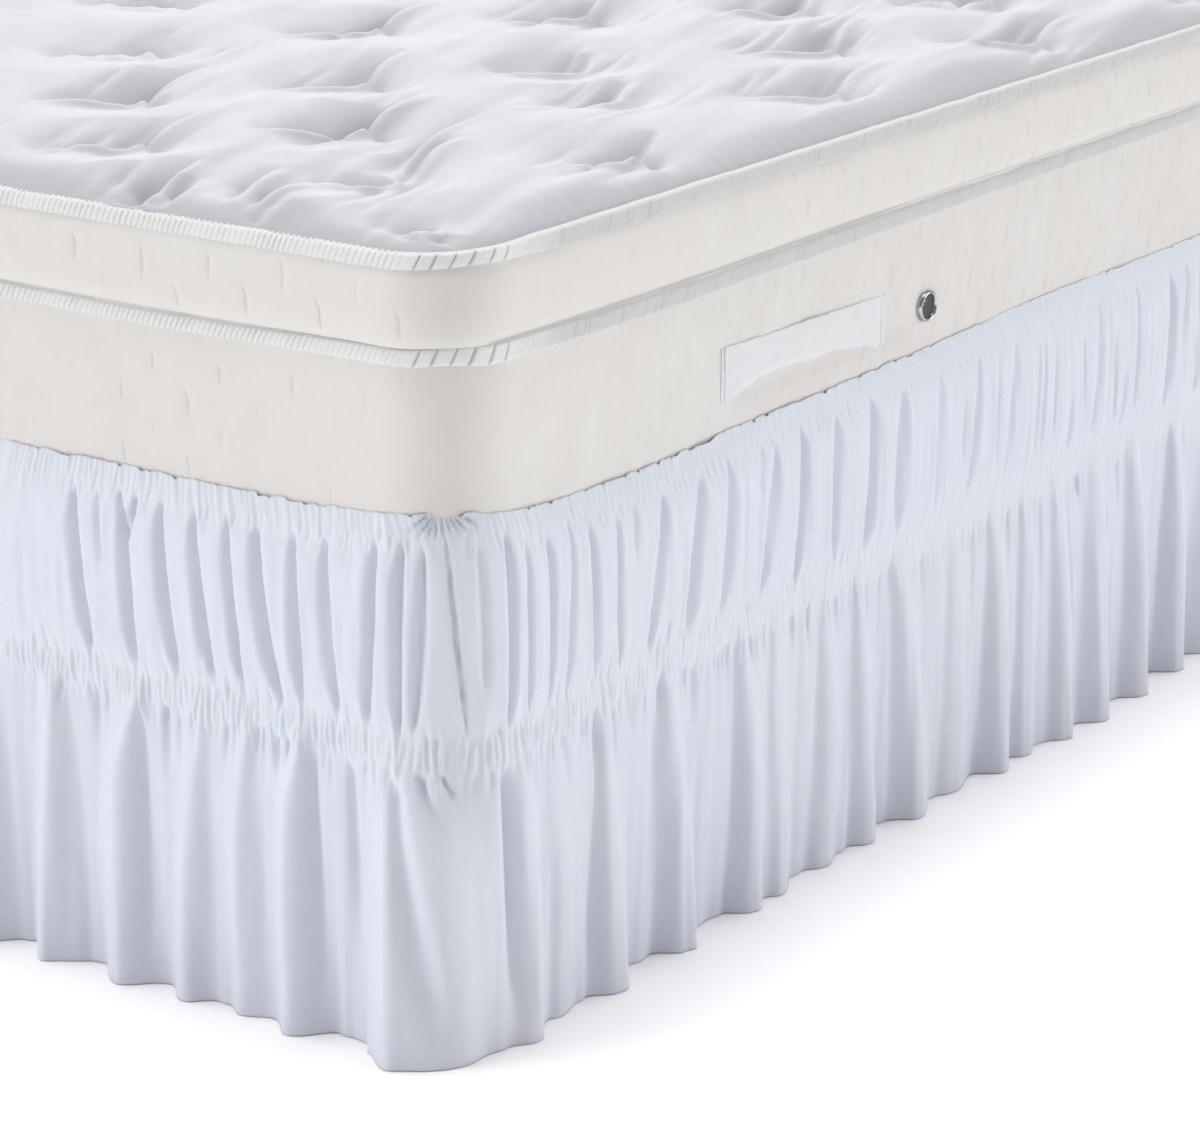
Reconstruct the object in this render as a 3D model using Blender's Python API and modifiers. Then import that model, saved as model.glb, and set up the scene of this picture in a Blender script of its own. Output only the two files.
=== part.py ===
"""Wrap-around bed skirt with two shirred rows, on the bed whose edge it grips.

Frame: metres, +Z up, origin on the floor under the middle of the bed.
+X is the long side that carries the handle, -Y is the foot end.  The corner
between them is where every distance round the bed starts: positive numbers run
counter-clockwise along the long side, negative ones along the foot end.
"""
import math

import bpy
import bmesh
from mathutils import Matrix, Vector

# ---------------------------------------------------------------- dimensions
BED_WIDTH = 1.370            # across, X
BED_LENGTH = 1.910           # along, Y
CORNER_R = 0.070             # plan radius of the mattress corners
GAP = 0.0003                 # between pieces that touch

BODY_FOOT_Z = 0.4220         # underside of the mattress
SEAM_Z = 0.5860              # between mattress body and pillow top
RIM_Z = 0.6760               # top of the tape round the pillow top's rim
TAPE_TALL = 0.0120
TAPE_THICK = 0.0032

BASE_FOOT_Z = 0.0400         # underside of the box base
BASE_INSET = 0.0100          # base stands in from the mattress all round
FOOT_R = 0.030

CLOTH_THICK = 0.0020         # cloth of the skirt

HANDLE_FROM, HANDLE_TO = 0.382, 0.657      # along the long side, from its corner
HANDLE_FOOT_Z, HANDLE_HEAD_Z = 0.4725, 0.5270
HANDLE_THICK = 0.0030
VENT_AT, VENT_Z, VENT_R = 0.7325, 0.4938, 0.0155

# The skirt from its top edge down to its hem.
#   height     above the floor
#   stand_off  how far the cloth stands out from the mattress's side
#   shirr      half depth of the narrow upper folds
#   flare      share of the broad lower folds that is open here
#   drift      share of the way from the upper folds' places to the lower ones'
SKIRT_LEVELS = (
    # name            height  stand_off  shirr   flare  drift
    ("lip",           0.457,  0.0062,   0.0010, 0.00,  0.00),
    ("heading_foot",  0.434,  0.0090,   0.0026, 0.00,  0.00),
    ("upper_middle",  0.362,  0.0195,   0.0080, 0.05,  0.08),
    ("band_head",     0.283,  0.0165,   0.0032, 0.10,  0.30),
    ("band_foot",     0.258,  0.0155,   0.0020, 0.22,  0.60),
    ("lower_middle",  0.150,  0.0190,   0.0000, 0.62,  1.00),
    ("hem",           0.004,  0.0200,   0.0000, 1.00,  1.00),
)

# Main folds beside the corner, in order round the bed.
#   at       crest of the broad lower fold
#   crest    how far its hem stands out there
#   dip      how far the hem stands out in the hollow before it
#   pinch_a, pinch_b   hollows of the two narrow upper folds above it
#   depth    how deep those are, 1 being usual
FOLDS = (
    # name      at      crest   dip    pinch_a  pinch_b  depth
    ("foot_5", -0.407,  0.034,  0.015,  -0.388,  -0.362,  1.10),
    ("foot_4", -0.322,  0.041,  0.015,  -0.332,  -0.288,  1.15),
    ("foot_3", -0.252,  0.038,  0.018,  -0.250,  -0.217,  1.05),
    ("foot_2", -0.192,  0.032,  0.019,  -0.178,  -0.149,  1.25),
    ("foot_1", -0.133,  0.044,  0.015,  -0.118,  -0.073,  0.90),
    ("corner", -0.030,  0.055,  0.014,  -0.040,  -0.012,  1.00),
    ("side_1",  0.056,  0.035,  0.027,   0.012,   0.036,  1.00),
    ("side_2",  0.112,  0.020,  0.012,   0.060,   0.094,  0.95),
    ("side_3",  0.184,  0.033,  0.012,   0.124,   0.160,  0.90),
    ("side_4",  0.295,  0.031,  0.005,   0.196,   0.250,  0.85),
    ("side_5",  0.402,  0.031,  0.006,   0.309,   0.358,  1.10),
    ("side_6",  0.453,  0.027,  0.017,   0.423,   0.456,  0.90),
    ("side_7",  0.533,  0.024,  0.010,   0.480,   0.540,  1.20),
    ("side_8",  0.606,  0.029,  0.012,   0.572,   0.605,  1.15),
    ("side_9",  0.694,  0.033,  0.005,   0.650,   0.688,  0.95),
    ("side_10", 0.775,  0.022,  0.011,   0.721,   0.762,  0.80),
    ("side_11", 0.851,  0.036,  0.012,   0.796,   0.832,  0.85),
    ("side_12", 0.902,  0.031,  0.018,   0.865,   0.893,  0.75),
    ("side_13", 0.971,  0.041,  0.021,   0.925,   0.960,  0.75),
    ("side_14", 1.046,  0.046,  0.023,   0.996,   1.035,  0.85),
    ("side_15", 1.134,  0.041,  0.021,   1.083,   1.120,  0.90),
)

# Past those, the folds follow the same habit with uneven steps.
#   step   distance to the next fold, scaled a little so the ring closes
#   crest, dip, depth as above
#   sway   how far its upper folds stray sideways
ROUND_FOLDS = (
    # step   crest   dip    depth  sway
    (0.092,  0.038,  0.011, 0.95,  0.004),
    (0.078,  0.033,  0.010, 0.85, -0.005),
    (0.104,  0.041,  0.012, 1.10,  0.006),
    (0.085,  0.032,  0.011, 0.90,  0.000),
    (0.097,  0.039,  0.009, 1.05, -0.006),
    (0.074,  0.034,  0.014, 0.80,  0.003),
    (0.108,  0.041,  0.010, 1.15,  0.005),
    (0.088,  0.032,  0.012, 0.90, -0.003),
    (0.081,  0.039,  0.010, 1.00,  0.002),
)

# How the shirred rows wander up and down beside the corner.
EDGE = (
    # at      lip     band
    (-0.60,   0.000,  0.000),
    (-0.30,  -0.001, -0.003),
    (-0.10,  -0.001, -0.003),
    (0.00,    0.006, -0.013),
    (0.10,   -0.002, -0.003),
    (0.25,   -0.009, -0.002),
    (0.50,   -0.005,  0.000),
    (0.70,    0.000,  0.001),
    (0.95,    0.005,  0.003),
    (1.15,    0.002,  0.002),
    (1.45,    0.000,  0.000),
)

# Sides of the two mattress parts: how far the padded border stands out.
BODY_SIDE = (
    # height   out
    (0.4300, -0.0040),
    (0.4420,  0.0000),
    (0.4650,  0.0000),
    (0.4710,  0.0028),
    (0.5600,  0.0028),
    (0.5740,  0.0020),
    (0.5795,  0.0000),
)
PILLOW_SIDE = (
    (0.5925,  0.0000),
    (0.5990,  0.0055),
    (0.6260,  0.0085),
    (0.6540,  0.0060),
    (0.6635,  0.0000),
    (0.6740,  0.0000),
)
# The top panel above the rim: each row goes in and up from the one before.
CROWN = (
    # inset   rise
    (0.0060,  0.0050),
    (0.0120,  0.0055),
    (0.0180,  0.0045),
    (0.0220,  0.0020),
)

# ------------------------------------------------------------------ clearing
for old in list(bpy.data.objects):
    bpy.data.objects.remove(old, do_unlink=True)

parts = bpy.data.collections.new("bed_skirt_on_bed")
bpy.context.scene.collection.children.link(parts)


def material(name, colour, roughness, metallic=0.0):
    made = bpy.data.materials.new(name)
    made.use_nodes = True
    shader = made.node_tree.nodes["Principled BSDF"]
    shader.inputs["Base Color"].default_value = (*colour, 1.0)
    shader.inputs["Roughness"].default_value = roughness
    shader.inputs["Metallic"].default_value = metallic
    return made


SKIRT_WHITE = material("skirt_white", (0.80, 0.82, 0.89), 0.80)
BORDER_CREAM = material("border_cream", (0.80, 0.77, 0.70), 0.75)
PANEL_WHITE = material("panel_white", (0.80, 0.78, 0.83), 0.70)
TAPE_WHITE = material("tape_white", (0.82, 0.82, 0.80), 0.55)
VENT_METAL = material("vent_metal", (0.35, 0.35, 0.37), 0.30, 1.0)
BASE_CLOTH = material("base_cloth", (0.72, 0.70, 0.66), 0.85)
FOOT_PLASTIC = material("foot_plastic", (0.06, 0.06, 0.06), 0.50)


def keep(obj, surface, smooth=True, angle=35.0):
    """File a finished piece under the bed and give it its material."""
    for holder in list(obj.users_collection):
        holder.objects.unlink(obj)
    parts.objects.link(obj)
    obj.data.materials.clear()
    obj.data.materials.append(surface)
    if smooth:
        obj.data.shade_smooth()
        obj.data.set_sharp_from_angle(angle=math.radians(angle))
    return obj


def mesh_object(name, bm):
    bmesh.ops.recalc_face_normals(bm, faces=bm.faces)
    data = bpy.data.meshes.new(name)
    bm.to_mesh(data)
    bm.free()
    return bpy.data.objects.new(name, data)


# ------------------------------------------------- the line round the mattress
HALF_X, HALF_Y = BED_WIDTH / 2, BED_LENGTH / 2
ARC = CORNER_R * math.pi / 2
LONG_RUN = BED_LENGTH - 2 * CORNER_R
SHORT_RUN = BED_WIDTH - 2 * CORNER_R
GIRTH = 2 * (LONG_RUN + SHORT_RUN) + 4 * ARC


def round_bed(at):
    """Point on the mattress's outline and its outward direction.

    Distance 0 is the middle of the handle side's foot corner.
    """
    at = (at + ARC / 2) % GIRTH
    corners = (
        # centre of the arc, first direction, run that follows it
        ((HALF_X - CORNER_R, -HALF_Y + CORNER_R), -90.0, LONG_RUN),
        ((HALF_X - CORNER_R, HALF_Y - CORNER_R), 0.0, SHORT_RUN),
        ((-HALF_X + CORNER_R, HALF_Y - CORNER_R), 90.0, LONG_RUN),
        ((-HALF_X + CORNER_R, -HALF_Y + CORNER_R), 180.0, SHORT_RUN),
    )
    for (cx, cy), start, run in corners:
        if at < ARC:
            turn = math.radians(start + 90.0 * at / ARC)
            out = Vector((math.cos(turn), math.sin(turn), 0.0))
            return Vector((cx, cy, 0.0)) + out * CORNER_R, out
        at -= ARC
        if at < run:
            turn = math.radians(start + 90.0)
            out = Vector((math.cos(turn), math.sin(turn), 0.0))
            along = Vector((-out.y, out.x, 0.0))
            return Vector((cx, cy, 0.0)) + out * CORNER_R + along * at, out
        at -= run
    return round_bed(0.0)


def from_table(rows, at, column):
    """Straight-line reading of a table whose first column is the place."""
    if at <= rows[0][0]:
        return rows[0][column]
    for low, high in zip(rows, rows[1:]):
        if at <= high[0]:
            share = (at - low[0]) / (high[0] - low[0])
            return low[column] + share * (high[column] - low[column])
    return rows[-1][column]


# --------------------------------------------------------- ring-shaped sheets
def ring_sheet(name, columns, levels, place, thick):
    """An open band of cloth laid round the bed, then given its thickness.

    place(column, level) gives each point; columns close on themselves.
    """
    bm = bmesh.new()
    bmesh.ops.create_grid(bm, x_segments=columns, y_segments=levels - 1, size=1.0)
    for vert in bm.verts:
        column = round((vert.co.x + 1.0) / 2.0 * columns)
        level = round((vert.co.y + 1.0) / 2.0 * (levels - 1))
        vert.co = place(column % columns, level)
    bmesh.ops.remove_doubles(bm, verts=bm.verts, dist=0.00001)
    obj = mesh_object(name, bm)
    shell = obj.modifiers.new("cloth", "SOLIDIFY")
    shell.thickness = thick
    shell.offset = -1.0
    shell.use_even_offset = False
    return obj


def all_folds():
    """The tabled folds, then the ones that carry on round the bed."""
    folds = [dict(at=at, crest=crest, dip=dip, a=a, b=b, depth=depth)
             for _, at, crest, dip, a, b, depth in FOLDS]
    first, last = FOLDS[0][1] + GIRTH, FOLDS[-1][1]
    mean = sum(row[0] for row in ROUND_FOLDS) / len(ROUND_FOLDS)
    count = round((first - last) / mean) - 1
    steps = [ROUND_FOLDS[i % len(ROUND_FOLDS)][0] for i in range(count + 1)]
    fit = (first - last) / sum(steps)
    at = last
    for i in range(count):
        step, crest, dip, depth, sway = ROUND_FOLDS[i % len(ROUND_FOLDS)]
        at += step * fit
        near = step * fit
        folds.append(dict(at=at, crest=crest, dip=dip, depth=depth,
                          a=at - 0.36 * near + sway, b=at + 0.12 * near + sway))
    return folds


FOLD_LIST = all_folds()
COLUMNS = 4 * len(FOLD_LIST)


def fold_column(column):
    """Lower place and offset, upper place and sign, for one line of the sheet.

    Each fold has four lines: hollow, flank, crest, flank.
    """
    index, part = divmod(column, 4)
    fold = FOLD_LIST[index]
    before = FOLD_LIST[index - 1]
    after = FOLD_LIST[(index + 1) % len(FOLD_LIST)]
    before_at = before["at"] - (GIRTH if index == 0 else 0.0)
    after_at = after["at"] + (GIRTH if index == len(FOLD_LIST) - 1 else 0.0)
    after_a = after["a"] + (GIRTH if index == len(FOLD_LIST) - 1 else 0.0)
    hollow = (before_at + fold["at"]) / 2
    next_hollow = (fold["at"] + after_at) / 2
    middle = (fold["crest"] + fold["dip"]) / 2
    return (
        (hollow, fold["dip"], fold["a"], -fold["depth"]),
        ((hollow + fold["at"]) / 2, middle, (fold["a"] + fold["b"]) / 2, fold["depth"]),
        (fold["at"], fold["crest"], fold["b"], -fold["depth"]),
        ((fold["at"] + next_hollow) / 2, (fold["crest"] + after["dip"]) / 2,
         (fold["b"] + after_a) / 2, fold["depth"]),
    )[part]


def skirt_point(column, level):
    name, height, stand_off, shirr, flare, drift = SKIRT_LEVELS[-1 - level]
    low_at, low_out, up_at, up_sign = fold_column(column)
    at = up_at + drift * (low_at - up_at)
    out = stand_off + flare * (low_out - stand_off) + shirr * up_sign
    near = at if at < GIRTH / 2 else at - GIRTH
    if name in ("lip", "heading_foot"):
        height += from_table(EDGE, near, 1)
    elif name in ("upper_middle", "lower_middle"):
        height += 0.5 * from_table(EDGE, near, 2)
    elif name != "hem":
        height += from_table(EDGE, near, 2)
    else:
        height += 0.10 * (0.050 - low_out)
    point, outward = round_bed(at)
    return point + outward * out + Vector((0.0, 0.0, height))


keep(ring_sheet("bed_skirt", COLUMNS, len(SKIRT_LEVELS), skirt_point, CLOTH_THICK),
     SKIRT_WHITE)


# ------------------------------------------------------------ mattress pieces
def outward_of(x, y, radius):
    """Outward direction at a point on a rounded rectangle round the bed."""
    over_x = abs(x) - (HALF_X - radius)
    over_y = abs(y) - (HALF_Y - radius)
    if over_x > 1e-6 and over_y > 1e-6:
        away = Vector((math.copysign(over_x, x), math.copysign(over_y, y), 0.0))
        return away.normalized()
    if over_x > over_y:
        return Vector((math.copysign(1.0, x), 0.0, 0.0))
    return Vector((0.0, math.copysign(1.0, y), 0.0))


def upright_block(low, high, inset, radius, steps):
    """A box with rounded upright edges, as a bmesh."""
    bm = bmesh.new()
    size = Matrix.Diagonal((BED_WIDTH - 2 * inset, BED_LENGTH - 2 * inset, high - low, 1.0))
    lift = Matrix.Translation((0.0, 0.0, (low + high) / 2))
    bmesh.ops.create_cube(bm, size=1.0, matrix=lift @ size)
    upright = [e for e in bm.edges if abs(e.verts[0].co.z - e.verts[1].co.z) > 0.001]
    bmesh.ops.bevel(bm, geom=upright, offset=radius, offset_type="OFFSET",
                    segments=steps, profile=0.5, affect="EDGES")
    return bm


def padded_block(name, low, high, side, crown):
    """An upright block whose side swells by a table and whose top may rise."""
    bm = upright_block(low, high, 0.0, CORNER_R, 7)
    for height, _ in side:
        bmesh.ops.bisect_plane(bm, geom=bm.verts[:] + bm.edges[:] + bm.faces[:],
                               plane_co=(0.0, 0.0, height), plane_no=(0.0, 0.0, 1.0))
    ends = [(low, side[0][1] - 0.010 if low < side[0][0] - 0.007 else side[0][1])]
    swell = ends + list(side) + [(high, side[-1][1])]
    for vert in bm.verts:
        vert.co += outward_of(vert.co.x, vert.co.y, CORNER_R) * from_table(swell, vert.co.z, 1)
    top = max(bm.faces, key=lambda f: f.calc_center_median().z)
    for inset, rise in crown:
        bmesh.ops.inset_region(bm, faces=[top], thickness=inset, use_even_offset=True)
        for vert in top.verts:
            vert.co.z += rise
    if crown:
        bmesh.ops.poke(bm, faces=[top])
    return mesh_object(name, bm)


keep(padded_block("mattress_body", BODY_FOOT_Z, SEAM_Z - GAP / 2, BODY_SIDE, ()),
     BORDER_CREAM, angle=50.0)
keep(padded_block("pillow_top", SEAM_Z + GAP / 2, RIM_Z, PILLOW_SIDE, CROWN),
     PANEL_WHITE, angle=50.0)


def tape(name, foot_z):
    """A narrow bound tape edge, a little fuller in the middle of its height."""
    profile = ((0.0, 0.80), (0.35, 1.0), (0.65, 1.0), (1.0, 0.80))

    # columns fall evenly on the straight runs and on the four corner arcs
    marks = []
    for corner, run in ((0, LONG_RUN), (1, SHORT_RUN), (2, LONG_RUN), (3, SHORT_RUN)):
        start = -ARC / 2 + sum((LONG_RUN, SHORT_RUN, LONG_RUN)[:corner]) + corner * ARC
        marks += [start + ARC * i / 9 for i in range(9)]
        marks += [start + ARC + run * i / 2 for i in range(2)]

    def marked_point(column, level):
        share, full = profile[level]
        point, outward = round_bed(marks[column] + GIRTH)
        return (point + outward * (GAP * 1.5 + TAPE_THICK * full)
                + Vector((0.0, 0.0, foot_z + share * TAPE_TALL)))

    return keep(ring_sheet(name, len(marks), len(profile), marked_point,
                           TAPE_THICK * 0.75), TAPE_WHITE)


tape("tape_mid", SEAM_Z - TAPE_TALL / 2)
tape("tape_top", RIM_Z - TAPE_TALL)

# Handle: a flat strip with softened edges, lying on the padded border.
border_out = HALF_X + BODY_SIDE[3][1] + GAP
bpy.ops.mesh.primitive_cube_add(size=1.0)
handle = bpy.context.object
handle.name = "handle"
handle.data.name = "handle"
handle.scale = (HANDLE_THICK, HANDLE_TO - HANDLE_FROM, HANDLE_HEAD_Z - HANDLE_FOOT_Z)
handle.location = (border_out + HANDLE_THICK / 2,
                   -HALF_Y + (HANDLE_FROM + HANDLE_TO) / 2,
                   (HANDLE_HEAD_Z + HANDLE_FOOT_Z) / 2)
bpy.ops.object.transform_apply(location=False, rotation=False, scale=True)
soft = handle.modifiers.new("soft edge", "BEVEL")
soft.width = 0.0011
soft.segments = 2
keep(handle, TAPE_WHITE)

# Vent: a turned eyelet with a dished middle, facing out of the long side.
PROFILE = (
    # radius           out
    (0.0,              0.0012),
    (VENT_R * 0.50,    0.0012),
    (VENT_R * 0.56,    0.0032),
    (VENT_R * 0.74,    0.0042),
    (VENT_R * 0.92,    0.0032),
    (VENT_R,           0.0010),
    (VENT_R,           0.0000),
    (0.0,              0.0000),
)
bm = bmesh.new()
line = [bm.verts.new((radius, 0.0, out)) for radius, out in PROFILE]
for low, high in zip(line, line[1:]):
    bm.edges.new((low, high))
data = bpy.data.meshes.new("vent")
bm.to_mesh(data)
bm.free()
vent = bpy.data.objects.new("vent", data)
turn = vent.modifiers.new("turned", "SCREW")
turn.axis = "Z"
turn.steps = turn.render_steps = 32
turn.use_merge_vertices = True
turn.merge_threshold = 0.00002
vent.rotation_euler = (0.0, math.pi / 2, 0.0)
vent.location = (border_out, -HALF_Y + VENT_AT, VENT_Z)
keep(vent, VENT_METAL)

# Base: a plain upholstered box with rounded upright corners.
base = mesh_object("bed_base", upright_block(BASE_FOOT_Z, BODY_FOOT_Z - GAP,
                                             BASE_INSET, CORNER_R - BASE_INSET, 6))
keep(base, BASE_CLOTH)

# Feet: six short round glides under the base.
for number, (x, y) in enumerate(((0.58, -0.86), (0.58, 0.0), (0.58, 0.86),
                                 (-0.58, 0.86), (-0.58, 0.0), (-0.58, -0.86)), 1):
    tall = BASE_FOOT_Z - GAP
    bpy.ops.mesh.primitive_cylinder_add(vertices=24, radius=FOOT_R, depth=tall,
                                        location=(x, y, tall / 2))
    foot = bpy.context.object
    foot.name = "foot_%d" % number
    foot.data.name = foot.name
    keep(foot, FOOT_PLASTIC)
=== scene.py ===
"""White shirred bed skirt on a pillow-top mattress: finished surfaces, light and camera.

Frame: metres, +Z up, origin on the floor under the middle of the bed, +X the long
side with the handle, -Y the foot end.  Distances round the bed start at the
middle of the corner between those two: positive numbers run along the long
side, negative ones along the foot end.
"""
import math
import sys

import bpy
import numpy as np
from mathutils import Matrix, Vector


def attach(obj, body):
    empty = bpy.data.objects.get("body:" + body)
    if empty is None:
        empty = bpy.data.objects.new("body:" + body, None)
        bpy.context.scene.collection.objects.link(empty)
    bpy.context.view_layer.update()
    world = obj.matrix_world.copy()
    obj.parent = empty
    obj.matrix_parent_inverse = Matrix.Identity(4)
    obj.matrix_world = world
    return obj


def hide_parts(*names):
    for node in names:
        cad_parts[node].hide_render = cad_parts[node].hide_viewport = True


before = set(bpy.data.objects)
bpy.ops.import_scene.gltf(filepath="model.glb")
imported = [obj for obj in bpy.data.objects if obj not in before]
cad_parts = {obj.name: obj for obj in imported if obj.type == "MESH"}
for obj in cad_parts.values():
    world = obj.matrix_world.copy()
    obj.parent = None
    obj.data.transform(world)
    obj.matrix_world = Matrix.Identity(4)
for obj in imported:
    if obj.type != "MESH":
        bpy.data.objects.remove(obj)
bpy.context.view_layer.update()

# ---------------------------------------------------------------- dimensions
BED_WIDTH, BED_LENGTH = 1.370, 1.910
CORNER_R = 0.070
HALF_X, HALF_Y = BED_WIDTH / 2, BED_LENGTH / 2
ARC = CORNER_R * math.pi / 2
LONG_RUN = BED_LENGTH - 2 * CORNER_R
SHORT_RUN = BED_WIDTH - 2 * CORNER_R
GIRTH = 2 * (LONG_RUN + SHORT_RUN) + 4 * ARC

SEAM_Z = 0.5860
RIM_Z = 0.6760
TAPE_TALL = 0.0120
CLOTH_THICK = 0.0020

# ------------------------------------------------------------- small helpers


def lattice(seed, i, j):
    """One fixed number in -1..1 for each pair of whole numbers."""
    i = np.asarray(i).astype(np.int64)
    j = np.asarray(j).astype(np.int64)
    n = (i * 374761393 + j * 668265263 + seed * 362437) & 0xFFFFFFFF
    n = ((n ^ (n >> 13)) * 1274126177) & 0xFFFFFFFF
    n = ((n ^ (n >> 16)) * 2246822519) & 0xFFFFFFFF
    n = n ^ (n >> 15)
    return (n & 0xFFFFFF) / float(0x7FFFFF) - 1.0


def rough(seed, x, y=0.0):
    """Smooth unevenness in -1..1 with one feature for each unit of x and y."""
    x, y = np.broadcast_arrays(np.asarray(x, float), np.asarray(y, float))
    i, j = np.floor(x), np.floor(y)
    s, t = x - i, y - j
    s, t = s * s * (3 - 2 * s), t * t * (3 - 2 * t)
    low = lattice(seed, i, j) * (1 - s) + lattice(seed, i + 1, j) * s
    high = lattice(seed, i, j + 1) * (1 - s) + lattice(seed, i + 1, j + 1) * s
    return low * (1 - t) + high * t


def step(t):
    t = np.clip(t, 0.0, 1.0)
    return t * t * (3 - 2 * t)


def bell(x, width):
    return np.exp(-(x / width) ** 2)


def table(rows, at, column=1):
    """Reading of a table whose first column is the place, in rising order."""
    rows = np.array(rows, float)
    return np.interp(at, rows[:, 0], rows[:, column])


def smooth_table(rows, at, reach, column=1):
    """The same, with its corners rounded over a reach."""
    total = 0.0
    for shift, share in ((-1.0, 0.15), (-0.5, 0.22), (0.0, 0.26), (0.5, 0.22), (1.0, 0.15)):
        total = total + share * table(rows, at + shift * reach, column)
    return total


def round_bed(at, radius=CORNER_R):
    """Points on the mattress's outline and outward directions, as x and y."""
    at = np.mod(np.asarray(at, float) + ARC / 2, GIRTH)
    px, py = np.zeros(at.shape), np.zeros(at.shape)
    ox, oy = np.zeros(at.shape), np.zeros(at.shape)
    corners = (
        (HALF_X - CORNER_R, -HALF_Y + CORNER_R, -90.0, LONG_RUN),
        (HALF_X - CORNER_R, HALF_Y - CORNER_R, 0.0, SHORT_RUN),
        (-HALF_X + CORNER_R, HALF_Y - CORNER_R, 90.0, LONG_RUN),
        (-HALF_X + CORNER_R, -HALF_Y + CORNER_R, 180.0, SHORT_RUN),
    )
    start = 0.0
    for cx, cy, degrees, run in corners:
        local = at - start
        here = (local >= 0) & (local <= ARC + run)
        turn = math.radians(degrees) + np.clip(local, 0.0, ARC) / CORNER_R
        along = np.maximum(local - ARC, 0.0)
        dx, dy = np.cos(turn), np.sin(turn)
        px = np.where(here, cx + dx * CORNER_R - dy * along, px)
        py = np.where(here, cy + dy * CORNER_R + dx * along, py)
        ox, oy = np.where(here, dx, ox), np.where(here, dy, oy)
        start += ARC + run
    return px, py, ox, oy


def spaced(zones, even=False):
    """Places round the bed, closest where a zone asks for close ones.

    zones: (from, to, spacing), in rising order from one end of the ring.
    """
    fine = np.linspace(-GIRTH / 2, GIRTH / 2, 40001)
    want = np.zeros(fine.shape)
    for low, high, spacing in zones:
        want = np.where((fine >= low) & (fine <= high), 1.0 / spacing, want)
    kernel = np.ones(401) / 401
    want = np.convolve(np.concatenate([want[-200:], want, want[:200]]), kernel, "valid")
    grown = np.concatenate([[0.0], np.cumsum((want[1:] + want[:-1]) / 2 * np.diff(fine))])
    count = int(round(grown[-1]))
    if even:
        count += count % 2
    return np.interp(np.arange(count) * grown[-1] / count, grown, fine)


def lay_grid(name, points, ring, cloth_uv, flip=False):
    """A mesh from rows of points; a ring's last column joins its first."""
    rows, columns = points.shape[:2]
    index = np.arange(rows * columns).reshape(rows, columns)
    if ring:
        index = np.concatenate([index, index[:, :1]], axis=1)
    a, b = index[:-1, :-1], index[:-1, 1:]
    c, d = index[1:, 1:], index[1:, :-1]
    quads = np.stack([a, d, c, b] if not flip else [a, b, c, d], axis=-1).reshape(-1, 4)
    mesh = bpy.data.meshes.new(name)
    mesh.vertices.add(rows * columns)
    mesh.vertices.foreach_set("co", points.reshape(-1).astype(np.float32))
    mesh.loops.add(len(quads) * 4)
    mesh.loops.foreach_set("vertex_index", quads.reshape(-1).astype(np.int32))
    mesh.polygons.add(len(quads))
    mesh.polygons.foreach_set("loop_start", (np.arange(len(quads)) * 4).astype(np.int32))
    mesh.update(calc_edges=True)
    mesh.validate()
    if cloth_uv is not None:
        u, v = cloth_uv
        u = np.broadcast_to(u, (rows, columns)).astype(float)
        v = np.broadcast_to(v, (rows, columns)).astype(float)
        if ring:
            u = np.concatenate([u, u[:, :1] + cloth_uv_turn(u)], axis=1)
            v = np.concatenate([v, v[:, :1]], axis=1)
        corner = [(slice(None, -1), slice(None, -1)), (slice(1, None), slice(None, -1)),
                  (slice(1, None), slice(1, None)), (slice(None, -1), slice(1, None))]
        if flip:
            corner = [corner[0], corner[3], corner[2], corner[1]]
        uv = np.stack([np.stack([u[k], v[k]], axis=-1) for k in corner], axis=2)
        layer = mesh.uv_layers.new(name="cloth")
        layer.data.foreach_set("uv", uv.reshape(-1).astype(np.float32))
    mesh.shade_smooth()
    obj = bpy.data.objects.new(name, mesh)
    bpy.context.scene.collection.objects.link(obj)
    return obj


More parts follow.
